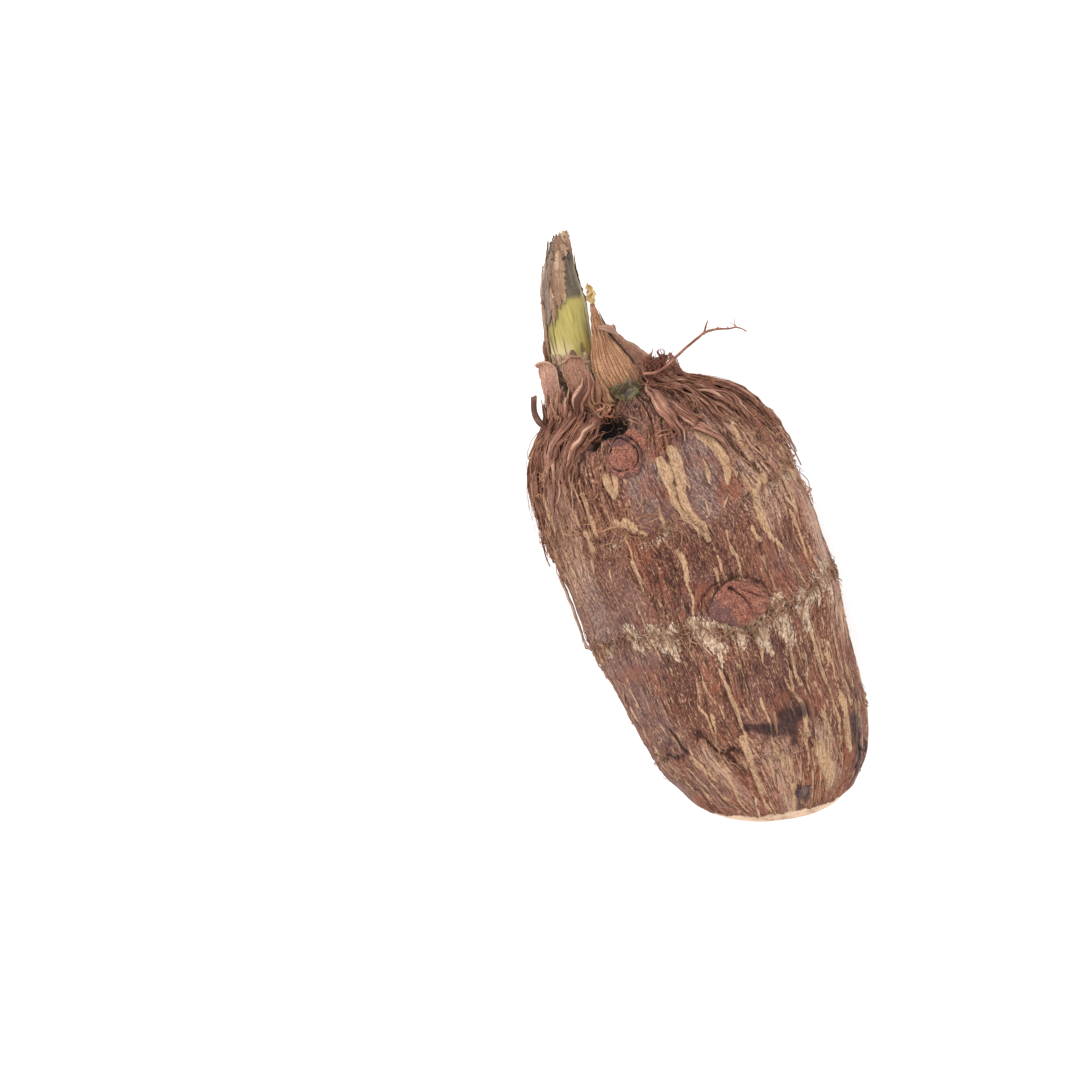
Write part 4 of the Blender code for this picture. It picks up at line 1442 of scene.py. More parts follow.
    def torn_threads(self) -> Piece:
        """Makes the fine threads and slivers at the torn top and down the sides.

        Returns:
            The piece.
        """
        draw = np.random.default_rng(63)
        strands = Strands()
        for _ in range(60):
            turn, low = draw.uniform(0, 360), self.top - draw.uniform(3.0, 14.0)
            length, lift = draw.uniform(2.0, 5.5), draw.uniform(0.05, 0.4)
            high = min(low + length, self.top - draw.uniform(0.0, 1.2))
            drift = draw.normal(0, 7)
            rows = [self.outer(turn + drift * t, low + (high - low) * t, lift * t)[0] for t in shares(8)]
            strands.add(np.array(rows), draw.uniform(0.07, 0.2), 0.2)
        for _ in range(24):
            turn, low, length = draw.uniform(100, 400), draw.uniform(50, 66), draw.uniform(5, 12)
            drift = draw.normal(0, 5)
            rows = [self.outer(turn + drift * t, low + length * t, 0.10 + 0.25 * t * (1 - t))[0]
                    for t in shares(12)]
            strands.add(np.array(rows), draw.uniform(0.05, 0.11), 0.2, 0.2)
        fibre = FibreFinish("stalk_thread", rgb(96, 74, 58), rgb(160, 132, 98), rgb(204, 182, 140))
        return strands.piece("stalk_threads", fibre)


@dataclass
class DryScale:
    """A dry leaf scale: a curved sheet that follows its CAD node, ribbed, wrinkled and ragged."""

    node: str
    # From the foot up: share of the node's y, then left x, right x, left z and right z as shares, and bulge.
    rows: Rows
    finish: Material
    ribs: float = 11.0
    rib_height: float = 0.12
    ragged: float = 0.5
    torn: float = 0.12
    curl: float = 0.0
    edge_roll: float = 0.3
    arch: float = 0.0
    slope: float = 0.0
    seed: int = 1
    slot: str = "scale"
    across: int = 56
    up: int = 84
    thickness: float = 0.24

    def surface(self) -> tuple[Array, Array, Array]:
        """Works out the sheet.

        Returns:
            Its points as a grid from the foot up, and the shares across and up at each.
        """
        shape = NodeShape(self.node)
        path = smooth_path(self.rows, self.up + 1)
        share_up, share = np.meshgrid(shares(self.up + 1), shares(self.across + 1), indexing="ij")
        edge, tear = Grain(70 + self.seed), Grain(170 + self.seed)
        top = 1 - self.torn * (0.5 + 0.9 * tear.at(joined(share * 4.5, share * 0, share * 0)))
        top -= 0.5 * self.torn * np.abs(tear.at(joined(share * 15, share * 0 + 3, share * 0)))
        top -= self.arch * (2 * share - 1) ** 2 + self.slope * share
        v = share_up * top
        place = np.clip(v, 0, 1) * self.up
        low = np.minimum(place.astype(int), self.up - 1)
        mixed = path[low] * (1 - (place - low))[..., None] + path[low + 1] * (place - low)[..., None]
        size = shape.high - shape.low
        left = joined(mixed[..., 1], mixed[..., 0], mixed[..., 3]) * size + shape.low
        right = joined(mixed[..., 2], mixed[..., 0], mixed[..., 4]) * size + shape.low
        chord = right - left
        width = np.linalg.norm(chord, axis=-1, keepdims=True) + 1e-6
        out = joined(-chord[..., 2], np.zeros(width.shape[:2]), chord[..., 0]) / width
        bite = self.ragged * edge.at(joined(share_up * 9, share * 0, share * 0)) / width[..., 0]
        other = self.ragged * edge.at(joined(share_up * 9, share * 0 + 5, share * 0)) / width[..., 0]
        u = share * (1 - np.abs(bite) - np.abs(other)) + np.abs(bite)
        middle = 4 * u * (1 - u)
        point = left + chord * u[..., None]
        wrinkle = 0.55 * edge.at(point * (0.32, 0.10, 0.32)) + 0.26 * edge.at(point * (0.9, 0.2, 0.9))
        phase = math.tau * self.ribs * u + 1.5 * edge.at(point * 0.2)
        ribs = self.rib_height * np.sin(phase) * np.minimum(1, middle * 3)
        rise = mixed[..., 5] * middle + wrinkle + ribs + self.edge_roll * (1 - middle) ** 4
        rolled = smooth(0.80, 1.0, share_up) * self.curl
        rise = rise + rolled
        point = point + out * rise[..., None]
        point[..., 1] -= 0.55 * np.abs(rolled) * smooth(0.9, 1.0, share_up)
        return point, u, share_up

    def lip(self) -> Array:
        """The line along the sheet's top edge."""
        return blurred(self.surface()[0][-1], 2.0, 0, False)

    def piece(self) -> Piece:
        """Makes the sheet with its wall.

        Returns:
            The piece, standing for its CAD node.
        """
        point, u, v = self.surface()
        made = grid_piece(self.node + "_sheet", point, False, self.finish, {"sheet_place": joined(u, v, v * 0)})
        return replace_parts(walled(made, self.thickness), self.node)


@dataclass
class LeafScales:
    """All the dry leaf scales round the stalk's foot, with what sticks to them."""

    stripes: LeafScaleFinish = LeafScaleFinish(
        "scale_striped", rgb(84, 50, 36), rgb(206, 156, 116), rgb(156, 106, 74), rgb(190, 140, 104), 12.0, 0.85, 0.5)
    plain: LeafScaleFinish = LeafScaleFinish(
        "scale_plain", rgb(106, 68, 52), rgb(186, 138, 110), rgb(126, 82, 64), rgb(200, 158, 132), 9.0, 0.35, 0.7)
    pale: LeafScaleFinish = LeafScaleFinish(
        "scale_pale", rgb(126, 84, 66), rgb(208, 164, 138), rgb(150, 102, 84), rgb(216, 178, 152), 8.0, 0.3, 0.6)

    def build(self) -> list[Piece]:
        """Makes every scale.

        Returns:
            The pieces.
        """
        stripes, plain, pale = self.stripes.material(), self.plain.material(), self.pale.material()
        moss = MossFinish().material()
        sheets = (
            DryScale("striped_scale", (
                (-.02, .05, 1.1, .94, .55, 1.2), (.15, -.05, 1.06, .80, .41, 1.9), (.29, -.08, .98, .65, .30, 2.1),
                (.46, .0, .84, .52, .23, 1.8), (.62, .16, .67, .41, .15, 1.4), (.79, .27, .59, .28, .10, .9),
                (.93, .38, .55, .14, .04, .4), (1, .45, .51, .07, .01, .1)), stripes, 6.0, 0.16, 0.4, 0.03, seed=1),
            DryScale("outer_scale", (
                (-.04, .33, .99, 1, .02, 2), (.19, .30, .88, .90, .02, 2.3), (.34, .26, .74, .81, .02, 2.2),
                (.53, .18, .56, .71, .08, 1.9), (.71, .11, .36, .68, .14, 1.3), (.86, .04, .25, .67, .27, .9),
                (1, 0, .19, .65, .40, .6)), plain, 9.0, 0.05, 0.7, 0.05, 1.3, 0.6, seed=2),
            DryScale("front_scale", (
                (.03, .28, .99, .56, .84, 1), (.25, .19, .95, .34, .69, 1.5), (.5, .06, .85, .14, .52, 1.8),
                (.78, .02, .80, .05, .39, 1.7), (.90, .08, .77, .08, .31, 1.5), (.97, .17, .68, .12, .28, 1.2),
                (1.04, .20, .62, .14, .26, .8)), plain, 7.0, 0.05, 0.4, 0.02, 1.0, 0.9, 0.13, seed=3),
            DryScale("left_scale", (
                (.01, .01, .71, .02, .97, 1.6), (.26, .18, .76, .01, .92, 1.9), (.54, .26, .83, .02, .89, 2),
                (.77, .29, .95, .03, .84, 1.8), (.92, .33, 1, .05, .80, 1.6), (1.04, .38, 1, .10, .74, 1.2)),
                pale, 6.0, 0.05, 0.5, 0.03, 1.0, 0.9, 0.07, 0.13, seed=4),
            DryScale("back_scale", (
                (0, .99, .01, .31, .55, 2), (.25, .97, .01, .33, .61, 2.3), (.51, .90, .05, .36, .70, 2.2),
                (.77, .76, .11, .47, .84, 1.7), (1, .59, .21, .59, .98, 1.1)), plain, 9.0, 0.12, 0.6, 0.14, 0.7,
                seed=5),
            DryScale("side_scale", (
                (-.04, 1, .04, .82, .10, 1.6), (.38, .83, .01, .86, .12, 1.6), (.71, .65, 0, .92, .20, 1.3),
                (1, .50, .30, .98, .30, .9)), plain, 7.0, 0.1, 0.5, 0.16, 0.5, seed=6),
            DryScale("green_scale", (
                (0, .23, .67, .88, .59, .8), (.30, .08, .82, .76, .39, 1.2), (.64, .01, .96, .61, .22, 1.4),
                (1, .03, .99, .54, .05, 1.1)), moss, 5.0, 0.1, 0.5, 0.4, 0.3, 0.4, seed=7, slot="green"),
        )
        return [sheet.piece() for sheet in sheets] + [
            self._lips(sheets[1:4]), self._gap_shadow(sheets[0]), self._flap(), self._moss(sheets[-1]), self._lump(),
            self._remnant(), self._stub()]

    def _gap_shadow(self, sheet: DryScale) -> Piece:
        """The dark line of painted shadow where the striped scale's edge lies over its neighbour.

        Args:
            sheet: the striped scale.

        Returns:
            The piece.
        """
        strands = Strands()
        edge = blurred(sheet.surface()[0][22:72, -1], 2.0, 0, False)
        # painted shadow: a dark strand along the overlapping edge
        strands.add(edge + (0.25, 0.0, 0.0), 0.3, 0.2, 0.5)
        shade = FibreFinish("gap_shade", rgb(52, 30, 24), rgb(70, 42, 33), rgb(92, 58, 44))
        return strands.piece("scale_gap_shadow", shade)

    def _flap(self) -> Piece:
        """The light curled flap at the outer scale's torn top.

        Returns:
            The piece.
        """
        at = NodeShape("outer_scale").at
        ribbons = Ribbons(0.2, 8)
        line = smooth_path([at(.26, .76, 1.05), at(.20, .84, 1.5), at(.10, .90, 1.75), at(.0, .94, 1.6),
                            at(-.04, .97, 1.3)], 24)
        half = np.interp(shares(24), (0, .3, .6, 1), (.4, 1.1, .9, .15))
        ribbons.add(line, np.tile((0.15, 0.35, 0.92), (24, 1)), half, 0.6, 0.35)
        finish = FibreFinish("flap_papery", rgb(150, 106, 88), rgb(192, 150, 128), rgb(218, 182, 158))
        return ribbons.piece("scale_flap", finish)

    def _lips(self, sheets: Sequence[DryScale]) -> Piece:
        """The pale rolled lips along the torn tops of scales.

        Args:
            sheets: the scales.

        Returns:
            The piece.
        """
        strands = Strands()
        for sheet in sheets:
            lip = sheet.lip()
            for drop, radius in ((0.0, 0.17), (0.3, 0.13)):
                strands.add(lip - (0, drop, -0.3 * drop), radius, 0.4, 0.4)
        finish = FibreFinish("lip_papery", rgb(178, 128, 104), rgb(208, 164, 136), rgb(232, 196, 166))
        return strands.piece("scale_lips", finish)

    def _moss(self, sheet: DryScale) -> Piece:
        """The spiky green fringe on the striped scale's damp foot.

        Args:
            sheet: the damp foot.

        Returns:
            The piece.
        """
        draw = np.random.default_rng(85)
        strands = Strands()
        top = sheet.lip()
        for _ in range(150):
            start = top[draw.integers(3, len(top) - 3)] + draw.uniform((-.8, -5.6, .1), (.4, -.9, .6))
            end = start + draw.normal((0, 0.5, 0.3), (0.5, 0.5, 0.25))
            bend = (start + end) / 2 + draw.normal(0, 0.15, 3)
            strands.add(smooth_path([start, bend, end], 6), draw.uniform(0.1, 0.2), 0.2)
        finish = FibreFinish("moss_fringe", rgb(84, 70, 50), rgb(112, 100, 64), rgb(146, 130, 90))
        return strands.piece("moss_fringe", finish)

    def _lump(self) -> Piece:
        """The grey-purple lump that sits on the damp foot.

        Returns:
            The piece.
        """
        turns = np.arange(48) * math.tau / 48
        rows, columns = np.meshgrid(np.linspace(-math.pi / 2, math.pi / 2, 25), turns, indexing="ij")
        ball = joined(np.cos(rows) * np.cos(columns), np.sin(rows), np.cos(rows) * np.sin(columns))
        ball *= 1 + 0.26 * Grain(86).at(ball * 1.6)[..., None] + 0.12 * Grain(87).at(ball * 4)[..., None]
        points = NodeShape("green_scale").at(.56, .06, .86) + ball * (2.4, 1.9, 1.3)
        finish = MossFinish("lump_slate", rgb(116, 106, 68), rgb(76, 64, 60), rgb(112, 98, 98))
        return grid_piece("moss_lump", points, True, finish.material(), {})

    def _remnant(self) -> Piece:
        """The thin yellow flake beside the stalk.

        Returns:
            The piece, standing for the CAD remnant.
        """
        shape = NodeShape("scale_remnant")
        ribbons = Ribbons(0.2)
        share = shares(18)
        # Each tatter: its foot and top as shares of the node's box, and its half width.
        tatters = (((.22, -.28), (.66, .92), .85), ((.10, .05), (.30, .62), .55), ((.62, .10), (.95, .70), .5),
                   ((.45, .45), (.42, 1.04), .42), ((.05, .30), (.75, .55), .4))
        for number, (foot, top, half) in enumerate(tatters):
            sway = 0.09 * np.sin(share * 9 + 2 * number)
            points = np.array([shape.at(foot[0] + (top[0] - foot[0]) * t + w, foot[1] + (top[1] - foot[1]) * t,
                                        0.4 + 0.1 * number + 0.3 * w) for t, w in zip(share, sway)])
            ragged = 1 + 0.3 * np.sin(share * 31 + number)
            width = half * np.sin(math.pi * np.clip(share * 0.86 + 0.12, 0, 1)) ** 0.7 * ragged
            ribbons.add(points, np.tile((0.25, 0.05, 0.96), (18, 1)), width, 0.4, 0.2)
        finish = FibreFinish("remnant_papery", rgb(176, 138, 82), rgb(214, 182, 122), rgb(236, 214, 164))
        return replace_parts(ribbons.piece("yellow_flake", finish), "scale_remnant")

    def _stub(self) -> Piece:
        """The short torn stub of an old leaf with its frayed grey cap.

        Returns:
            The piece, standing for the CAD stub.
        """
        shape = NodeShape("torn_stub")
        draw = np.random.default_rng(81)
        strands = Strands()
        for _ in range(46):
            turn, spread = draw.uniform(0, math.tau), draw.uniform(0.25, 0.75)
            side = around_y(turn, spread, 0.0)
            line = smooth_path([
                shape.at(0.72, -0.35, 0.35) + side * 0.9, shape.at(0.40, 0.05, 0.40) + side,
                shape.at(0.34, 0.45, 0.55) + side * 0.9,
                shape.at(0.66, 1.0, 0.65) + side * 1.2 + draw.normal(0, 0.12, 3),
            ], 12)
            strands.add(line, draw.uniform(0.16, 0.3), 0.45, 0.7)
        finish = FibreFinish("stub_frayed", rgb(100, 68, 56), rgb(150, 112, 94), rgb(196, 166, 148))
        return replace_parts(strands.piece("torn_stub_fibres", finish), "torn_stub")


# ---- buds


@dataclass
class SideBud:
    """A side bud: a rough low mound of scales, with a thicker lobe beside it."""

    skin: CormSkin
    node: str
    angle: float
    y: float
    half: tuple[float, float]
    height: float
    # Gaps between scales, each through (to the right, to the crown, width) points as shares of the half sizes.
    gaps: tuple[Rows, ...]
    # The mound's outline: turn in degrees, share of the half sizes.
    outline: Rows
    # The lobe's first and last turn in degrees, its inner and outer share of the radius and its height.
    lobe: tuple[float, float, float, float, float]
    finish: Material
    lean: float = 0.0  # how far the tip is pushed towards the crown, as a share of the half size
    plum_tip: float = 0.5
    plum_way: tuple[float, float] = (0.0, 1.0)
    eye: tuple[float, float] = (0.0, 0.0)  # where its fibres meet, in shares of the half sizes
    # the groove's dark line is painted shade
    groove: float = 0.0  # how strongly a dark line runs round inside its edge
    seed: int = 1
    sides: int = 144
    rows: int = 72
    lobe_cells: tuple[int, int] = (110, 30)  # across and up
    lobe_wall: float = 0.4
    foot_share: float = 0.85
    foot_depth: float = 2.4

    def __post_init__(self) -> None:
        """Sets the bud's own axes on the skin."""
        self.middle, normal = self.skin.on_skin(self.angle, self.y)
        self.up = unit(normal)
        self.right = unit(np.cross((0.0, 1.0, 0.0), self.up))
        self.along = np.cross(self.up, self.right)
        self.grain = Grain(90 + self.seed)

    def flat(self, share: Array, turn: Array) -> Array:
        """Places on the bud seen from above, in shares of its half sizes."""
        lean = self.lean * np.maximum(1 - share, 0)
        return joined(share * np.cos(turn), share * np.sin(turn) + lean, 0 * share)

    def spot(self, share: Array, turn: Array, height: Array) -> Array:
        """Points in the bud's own round coordinates.

        Args:
            share: how far out they lie, as shares.
            turn: their turns.
            height: how high they lie.

        Returns:
            The points.
        """
        flat = self.flat(share, turn)
        return (self.middle + self.half[0] * flat[..., :1] * self.right + self.half[1] * flat[..., 1:2] * self.along
                + height[..., None] * self.up)

    def dome(self) -> Piece:
        """Makes the mound.

        Returns:
            The piece, standing for the bud's CAD node.
        """
        turns = np.arange(self.sides) * math.tau / self.sides
        tilt, turn = np.meshgrid(np.linspace(0, math.pi / 2, self.rows + 1), turns, indexing="ij")
        share = np.cos(tilt) ** 0.8
        flat = self.flat(share, turn)
        wander = self.grain.at(flat * 1.4 + 3)
        lumps = self.grain.at(flat * 2.6 + 7)
        fibres = self.grain.at(around_y(turn, 8, share * 2.2)) * smooth(0.1, 0.5, share)
        grit = self.grain.at(flat * 11 + 5)
        near = np.full(share.shape, 9.0)
        for line in self.gaps:
            for x, y, width in smooth_path(line, 40):
                near = np.minimum(near, np.hypot(flat[..., 0] - x, flat[..., 1] - y) / width)
        # painted shade is laid along these gaps
        shaded_gap = np.exp(-((near * (1 + 0.5 * grit)) ** 2))
        wide = 0.028 + 0.03 * np.clip(lumps + 0.3, 0, 1)
        groove = np.exp(-(((share - 0.79 + 0.10 * wander + 0.035 * np.sin(3 * turn + 0.6)) / wide) ** 2))
        groove = groove * self.groove * np.clip(0.75 + 0.9 * self.grain.at(flat * 3.4 + 31), 0.15, 1)
        # painted shadow: the rim darkens most towards the crown, under the overhanging skin
        edge = smooth(0.84, 0.98, share) * np.clip(0.45 + 0.55 * np.sin(turn) + 0.3 * wander, 0, 1)
        edge = np.maximum(edge, groove)
        height = np.sin(tilt) ** 0.9 * (1 + 0.16 * wander + 0.20 * lumps) + 0.07 * fibres + 0.05 * grit
        height = height - 0.30 * shaded_gap - 0.25 * groove
        corners, radii = np.array(sorted(self.outline)).T
        bound = np.interp(np.degrees(turn), corners, radii, period=360.0)
        bound = blurred(bound, 3.0, 1, True) + 0.05 * self.grain.at(flat * (4, 4, 0) + 1)
        point = self.spot(share * bound, turn, self.height * height)
        point[-1] = point[-1].mean(0)
        ones = np.ones(self.sides)
        below = self.spot(self.foot_share * ones, turn[0], -self.foot_depth * ones)
        foot = np.broadcast_to(below.mean(0), below.shape)
        from_eye = flat[..., :2] - self.eye
        ray = np.arctan2(from_eye[..., 1], from_eye[..., 0])
        place = around_y(ray, 15, np.hypot(*np.moveaxis(from_eye, -1, 0)) * 2.6)
        tip = self.plum_tip * smooth(0.15, 0.6, flat[..., :2] @ self.plum_way - 0.35 * np.abs(flat[..., 0]))
        tip = np.maximum(tip, 0.45 * (self.groove > 0) * smooth(0.82, 0.95, share))
        # this share carries the painted shade of the gaps, the rim and the groove
        kept = {"shaded_gap": np.maximum(shaded_gap, 0.9 * edge), "tip": tip, "bud_place": place}
        kept = {label: np.concatenate([grid[:1], grid[:1], grid]) for label, grid in kept.items()}
        points = np.concatenate([foot[None], below[None], point])
        made = grid_piece(self.node + "_mound", points, True, self.finish, kept)
        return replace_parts(made, self.node)

    def side_lobe(self) -> Piece:
        """Makes the thick scale that hugs one side of the mound.

        Returns:
            The piece, standing for the bud scale's CAD node.
        """
        across, up = self.lobe_cells
        first, last, inner, outer, tall = self.lobe
        share, along = np.meshgrid(shares(up + 1), shares(across + 1), indexing="ij")
        turn = np.radians(first + (last - first) * along)
        body = np.sin(along * math.pi) ** 0.6
        flat = around_y(turn, 2.2, share * 1.1)
        wander, ripple = self.grain.at(flat + 11), self.grain.at(flat * (4.5, 2, 4.5))
        wide = (outer - inner) * (0.3 + 0.7 * body) * (1 + 0.35 * wander)
        radius = inner + 0.05 * wander + wide * (1 - share)
        arch = np.sin(share**0.8 * math.pi) ** 0.7
        height = tall * arch * body * (0.8 + 0.5 * wander) + 0.22 * ripple * arch - 0.9 + 0.4 * body
        place = around_y(turn, 9, share * 4)
        # painted shade along the lobe's top edge and at its foot
        shaded_gap = np.maximum(smooth(0.70, 0.95, share), 0.45 * (1 - smooth(0.0, 0.12, share)))
        kept = {"shaded_gap": shaded_gap, "tip": 0 * shaded_gap, "bud_place": place}
        made = grid_piece(self.node + "_lobe", self.spot(radius, turn, height), False, self.finish, kept)
        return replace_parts(walled(made, self.lobe_wall), self.node + "_scale")


# ---- husk and roots


@dataclass(frozen=True)
class Drape:
    """A family of husk strands that hang from the collar over the shoulder."""

    count: int
    first: float
    last: float
    low: tuple[float, float]
    drift: float
    width: tuple[float, float]
    lift: tuple[float, float]
    flare: float = 1.0


@dataclass
class Husk:
    """The torn leaf bases and fibres that hang over the corm's shoulder."""

    skin: CormSkin
    seed: int = 101
    collar_y: float = 49.0
    shreds: int = 6  # narrow strips that one broad strap is torn into
    leafy_shreds: int = 3
    strap_points: int = 46
    strip_points: int = 30
    fibre_points: int = 15
    shoulder_y: float = 43.0  # beyond it strands leave the skin
    collar_blend: tuple[float, float] = (40.0, 47.0)
    skin_reach: tuple[float, float] = (-60.0, 44.0)
    flake_end: float = -64.5
    wall: float = 0.2
    # Broad straps in full view: angle, y, lift and half width along each.
    straps_in_view: tuple[Rows, ...] = (
        ((72, 38, 1.2, 1), (66, 31, 1, 1.3), (60, 27, .7, .9), (58, 21, .4, .3)),
        ((138, 52, .6, 1.4), (153, 45, 1.4, 1.9), (160, 40, 1.2, 1.7), (164, 34, .9, 1.4), (163, 26, .7, 1.1),
         (162, 17, .4, .3)),
        ((128, 51, .3, 1.5), (140, 46, 1.1, 1.8), (150, 41, 1.2, 1.5), (156, 34, .9, 1.2), (157, 26, .5, .3)),
        ((118, 43, .8, .9), (128, 39, 1.2, 1.3), (134, 33, 1, 1.3), (137, 27, .7, 1), (139, 20, .3, .3)),
        ((30, 48, .6, 1), (20, 43, 1.8, 1.3), (14, 37, 1.6, 1.3), (14, 30, 1.2, 1.2), (14, 21, .6, .3)),
        ((48, 47, .6, 1), (38, 42, 1.4, 1.4), (34, 36, 1.3, 1.4), (36, 30, .9, 1.1), (37, 23, .4, .3)),
        ((62, 46, .5, .8), (52, 41, 1.2, 1.2), (50, 35, 1.1, 1.1), (53, 29, .5, .3)),
        ((12, 45, 1, .8), (6, 39, 1.9, 1), (3, 32, 1.8, 1), (2, 24, 1.3, .9), (3, 16, .8, .3)),
    )
    leafy_straps: tuple[Rows, ...] = (
        ((104, 53, .9, .6), (110, 50, 1.3, 1.2), (121, 46.5, 1.9, 1.5), (137, 42, 2, 1.5), (146, 37, 1.5, 1.3),
         (150, 31, .9, 1), (153, 26, .5, .3)),
        ((61, 46, .8, .5), (70, 43.4, 1.3, 1), (77, 40, 1.4, 1.4), (78, 36, 1.3, 1.5), (76, 31, .9, 1.1),
         (79, 27, .4, .4)),
        ((146, 52, .9, .6), (156, 47, 1.3, 1.2), (166, 42, 1.2, 1.3), (170, 36, .8, .9), (169, 30, .4, .3)),
    )
    # The light brown sheath foot between the front and striped scales.
    tan_straps: tuple[Rows, ...] = (
        ((101, 52, .0, .9), (105, 48.5, .3, 1.5), (110, 45, .5, 1.2), (112, 43, .3, .2)),
        ((108, 51.5, .0, .8), (112, 48, .2, 1.2), (116, 45, .4, .9), (119, 43.4, .2, .2)),
        ((97, 49, .0, .6), (98, 46.5, .2, 1), (99, 44.6, .3, .7), (98, 43.2, .1, .2)),
    )
    strips: tuple[Drape, ...] = (
        Drape(24, 122, 182, (8, 34), 10, (0.2, 0.8), (0.3, 1.4), 2.2),
        Drape(11, 10, 60, (18, 36), -8, (0.2, 0.7), (0.3, 1.2), 1.4),
        Drape(84, 180, 368, (14, 36), 4, (0.3, 1.2), (0.3, 1.3), 1.6),
    )
    fibres: tuple[Drape, ...] = (
        Drape(80, 120, 184, (9, 34), 12, (0.06, 0.18), (0.5, 2.2), 2.4),
        Drape(34, 10, 66, (22, 38), -10, (0.06, 0.16), (0.4, 1.6), 1.6),
        Drape(36, -12, 24, (14, 32), -5, (0.06, 0.17), (0.6, 2.0), 2.4),
        Drape(150, 184, 350, (12, 36), 4, (0.06, 0.2), (0.4, 1.8), 2.0),
    )

    def __post_init__(self) -> None:
        """Reads the collar from the crown ends of the CAD husk straps."""
        self.straps = sorted(name for name in frame["nodes"] if name.startswith("husk_strap"))
        points = np.vstack([NodeShape(name).points for name in self.straps])
        crown = points[points[:, 1] > points[:, 1].max() - 1.6]
        low, high = crown.min(0), crown.max(0)
        self.middle = (low + high) / 2
        self.half = (high - low) / 2 - 0.4
        self.draw = np.random.default_rng(self.seed)
        self.pick = self.draw.uniform
        self.kinks = Grain(310)

    def collar(self, angle: Array, y: float, share: float) -> Array:
        """Points of the collar's oval.

        Args:
            angle: their angles.
            y: their y.
            share: the share of the oval's size.

        Returns:
            The points.
        """
        turn = np.radians(angle)
        return joined(self.middle[0] + self.half[0] * share * np.cos(turn), y + 0 * turn,
                         self.middle[2] + self.half[2] * share * np.sin(turn))

    def over(self, angle: float, y: float, lift: float) -> tuple[Array, Array]:
        """A point over the skin, or over the collar beyond the skin's shoulder.

        Args:
            angle: its angle.
            y: its y.
            lift: how far it stands off.

        Returns:
            The point and the way out there.
        """
        skin, normal = self.skin.on_skin(angle, min(y, self.shoulder_y), lift)
        oval = self.collar(angle, y, 0.92)
        out = unit(oval - (self.middle[0], y, self.middle[2]))
        share = smooth(*self.collar_blend, y)
        return skin * (1 - share) + (oval + out * lift * 0.5) * share, normal * (1 - share) + out * share

    def route(self, drape: Drape, points: int) -> tuple[Array, Array]:
        """One strand's middle line from the collar to its torn end.

        Args:
            drape: the family.
            points: how many points.

        Returns:
            The points and the outward ways at them.
        """
        draw = self.draw
        angle = draw.uniform(drape.first, drape.last)
        end_y = draw.uniform(*drape.low)
        lift = draw.uniform(*drape.lift)
        top = self.collar_y + draw.uniform(-2.5, 2.2)
        share = draw.uniform(0.72, 1.0)
        drift = drape.drift * draw.uniform(0.4, 1.4) + draw.normal(0, 3)
        bend = draw.normal(0, 2.2, 4)
        crest = np.array([self.collar(angle, top, share * 0.97), self.collar(angle + bend[0], 46.0, share)])
        y = np.array([41.5, 37.0, 30.0, end_y]) if end_y < 28 else np.array([41.5, 38.0, (38 + end_y) / 2, end_y])
        turns = angle + drift * np.array([0.25, 0.45, 0.75, 1.0]) + bend
        lifts = lift * np.array([1.0, 1.0, 0.9, 0.5]) + np.array([0.5, 0.2, 0, drape.flare * draw.uniform(0, 1) ** 2])
        low, _ = self.skin.on_skin(turns, y, lifts)
        line = smooth_path(np.vstack([crest, low]), points)
        _, normal = self.skin.on_skin(np.full(points, turns.mean()), np.clip(line[:, 1], *self.skin_reach))
        out = line - (self.middle[0], 0, self.middle[2])
        out[:, 1] = 0
        line[:, 2] = np.maximum(line[:, 2], FLOOR_GAP)
        return line, unit(normal * 0.5 + unit(out) * 0.5)

    def _broad(self, ribbons: Ribbons, routes: Sequence[Rows], shreds: int) -> None:
        """Adds broad straps along their routes, torn into shreds.

        Args:
            ribbons: where they go.
            routes: angle, y, lift and half width along each.
            shreds: how many shreds each strap has.
        """
        count = self.strap_points
        share = shares(count)
        for route in routes:
            path = smooth_path(route, count)
            ends = [self.over(*row[:3]) for row in path]
            line = np.array([point for point, _ in ends])
            out = np.array([way for _, way in ends])
            kink = Grain(int(route[0][0]) + 200)
            line += 0.45 * joined(*(kink.at(line * 0.35 + 5 * k) for k in range(3)))
            side = unit(np.cross(np.gradient(line, axis=0), out))
            for across in np.linspace(-1, 1, shreds) * (1 - 0.8 / shreds):
                first, last = self.draw.integers(0, 7), count - self.draw.integers(0, 13)
                sway = across + 0.16 * np.sin(share * self.pick(4, 13) + self.pick(0, math.tau))
                rise = self.pick(-0.3, 0.35) + 0.3 * np.sin(share * self.pick(3, 9) + across * 5)
                shred = line + side * (path[:, 3] * sway)[:, None] + out * rise[:, None]
                taper = np.minimum(1, 0.3 + 5 * (share - first / count))
                taper = taper * np.minimum(1, 0.1 + 5 * (last / count - share))
                half = path[:, 3] * self.pick(1.1, 2.4) / shreds * (1 + 0.3 * kink.at(shred * 0.9)) * taper
                lean = self.draw.normal(0, 0.45)
                ribbons.add(shred[first:last], (out + side * lean)[first:last], half[first:last], 0.35, 0.12)

    def sheath_foot(self) -> Piece:
        """Makes the light brown foot of the torn sheath.

        Returns:
            The piece.
        """
        ribbons = Ribbons(self.wall)
        self._broad(ribbons, self.tan_straps, self.leafy_shreds)
        finish = FibreFinish("sheath_tan", rgb(104, 64, 44), rgb(152, 106, 78), rgb(192, 146, 112))
        return ribbons.piece("sheath_foot", finish)

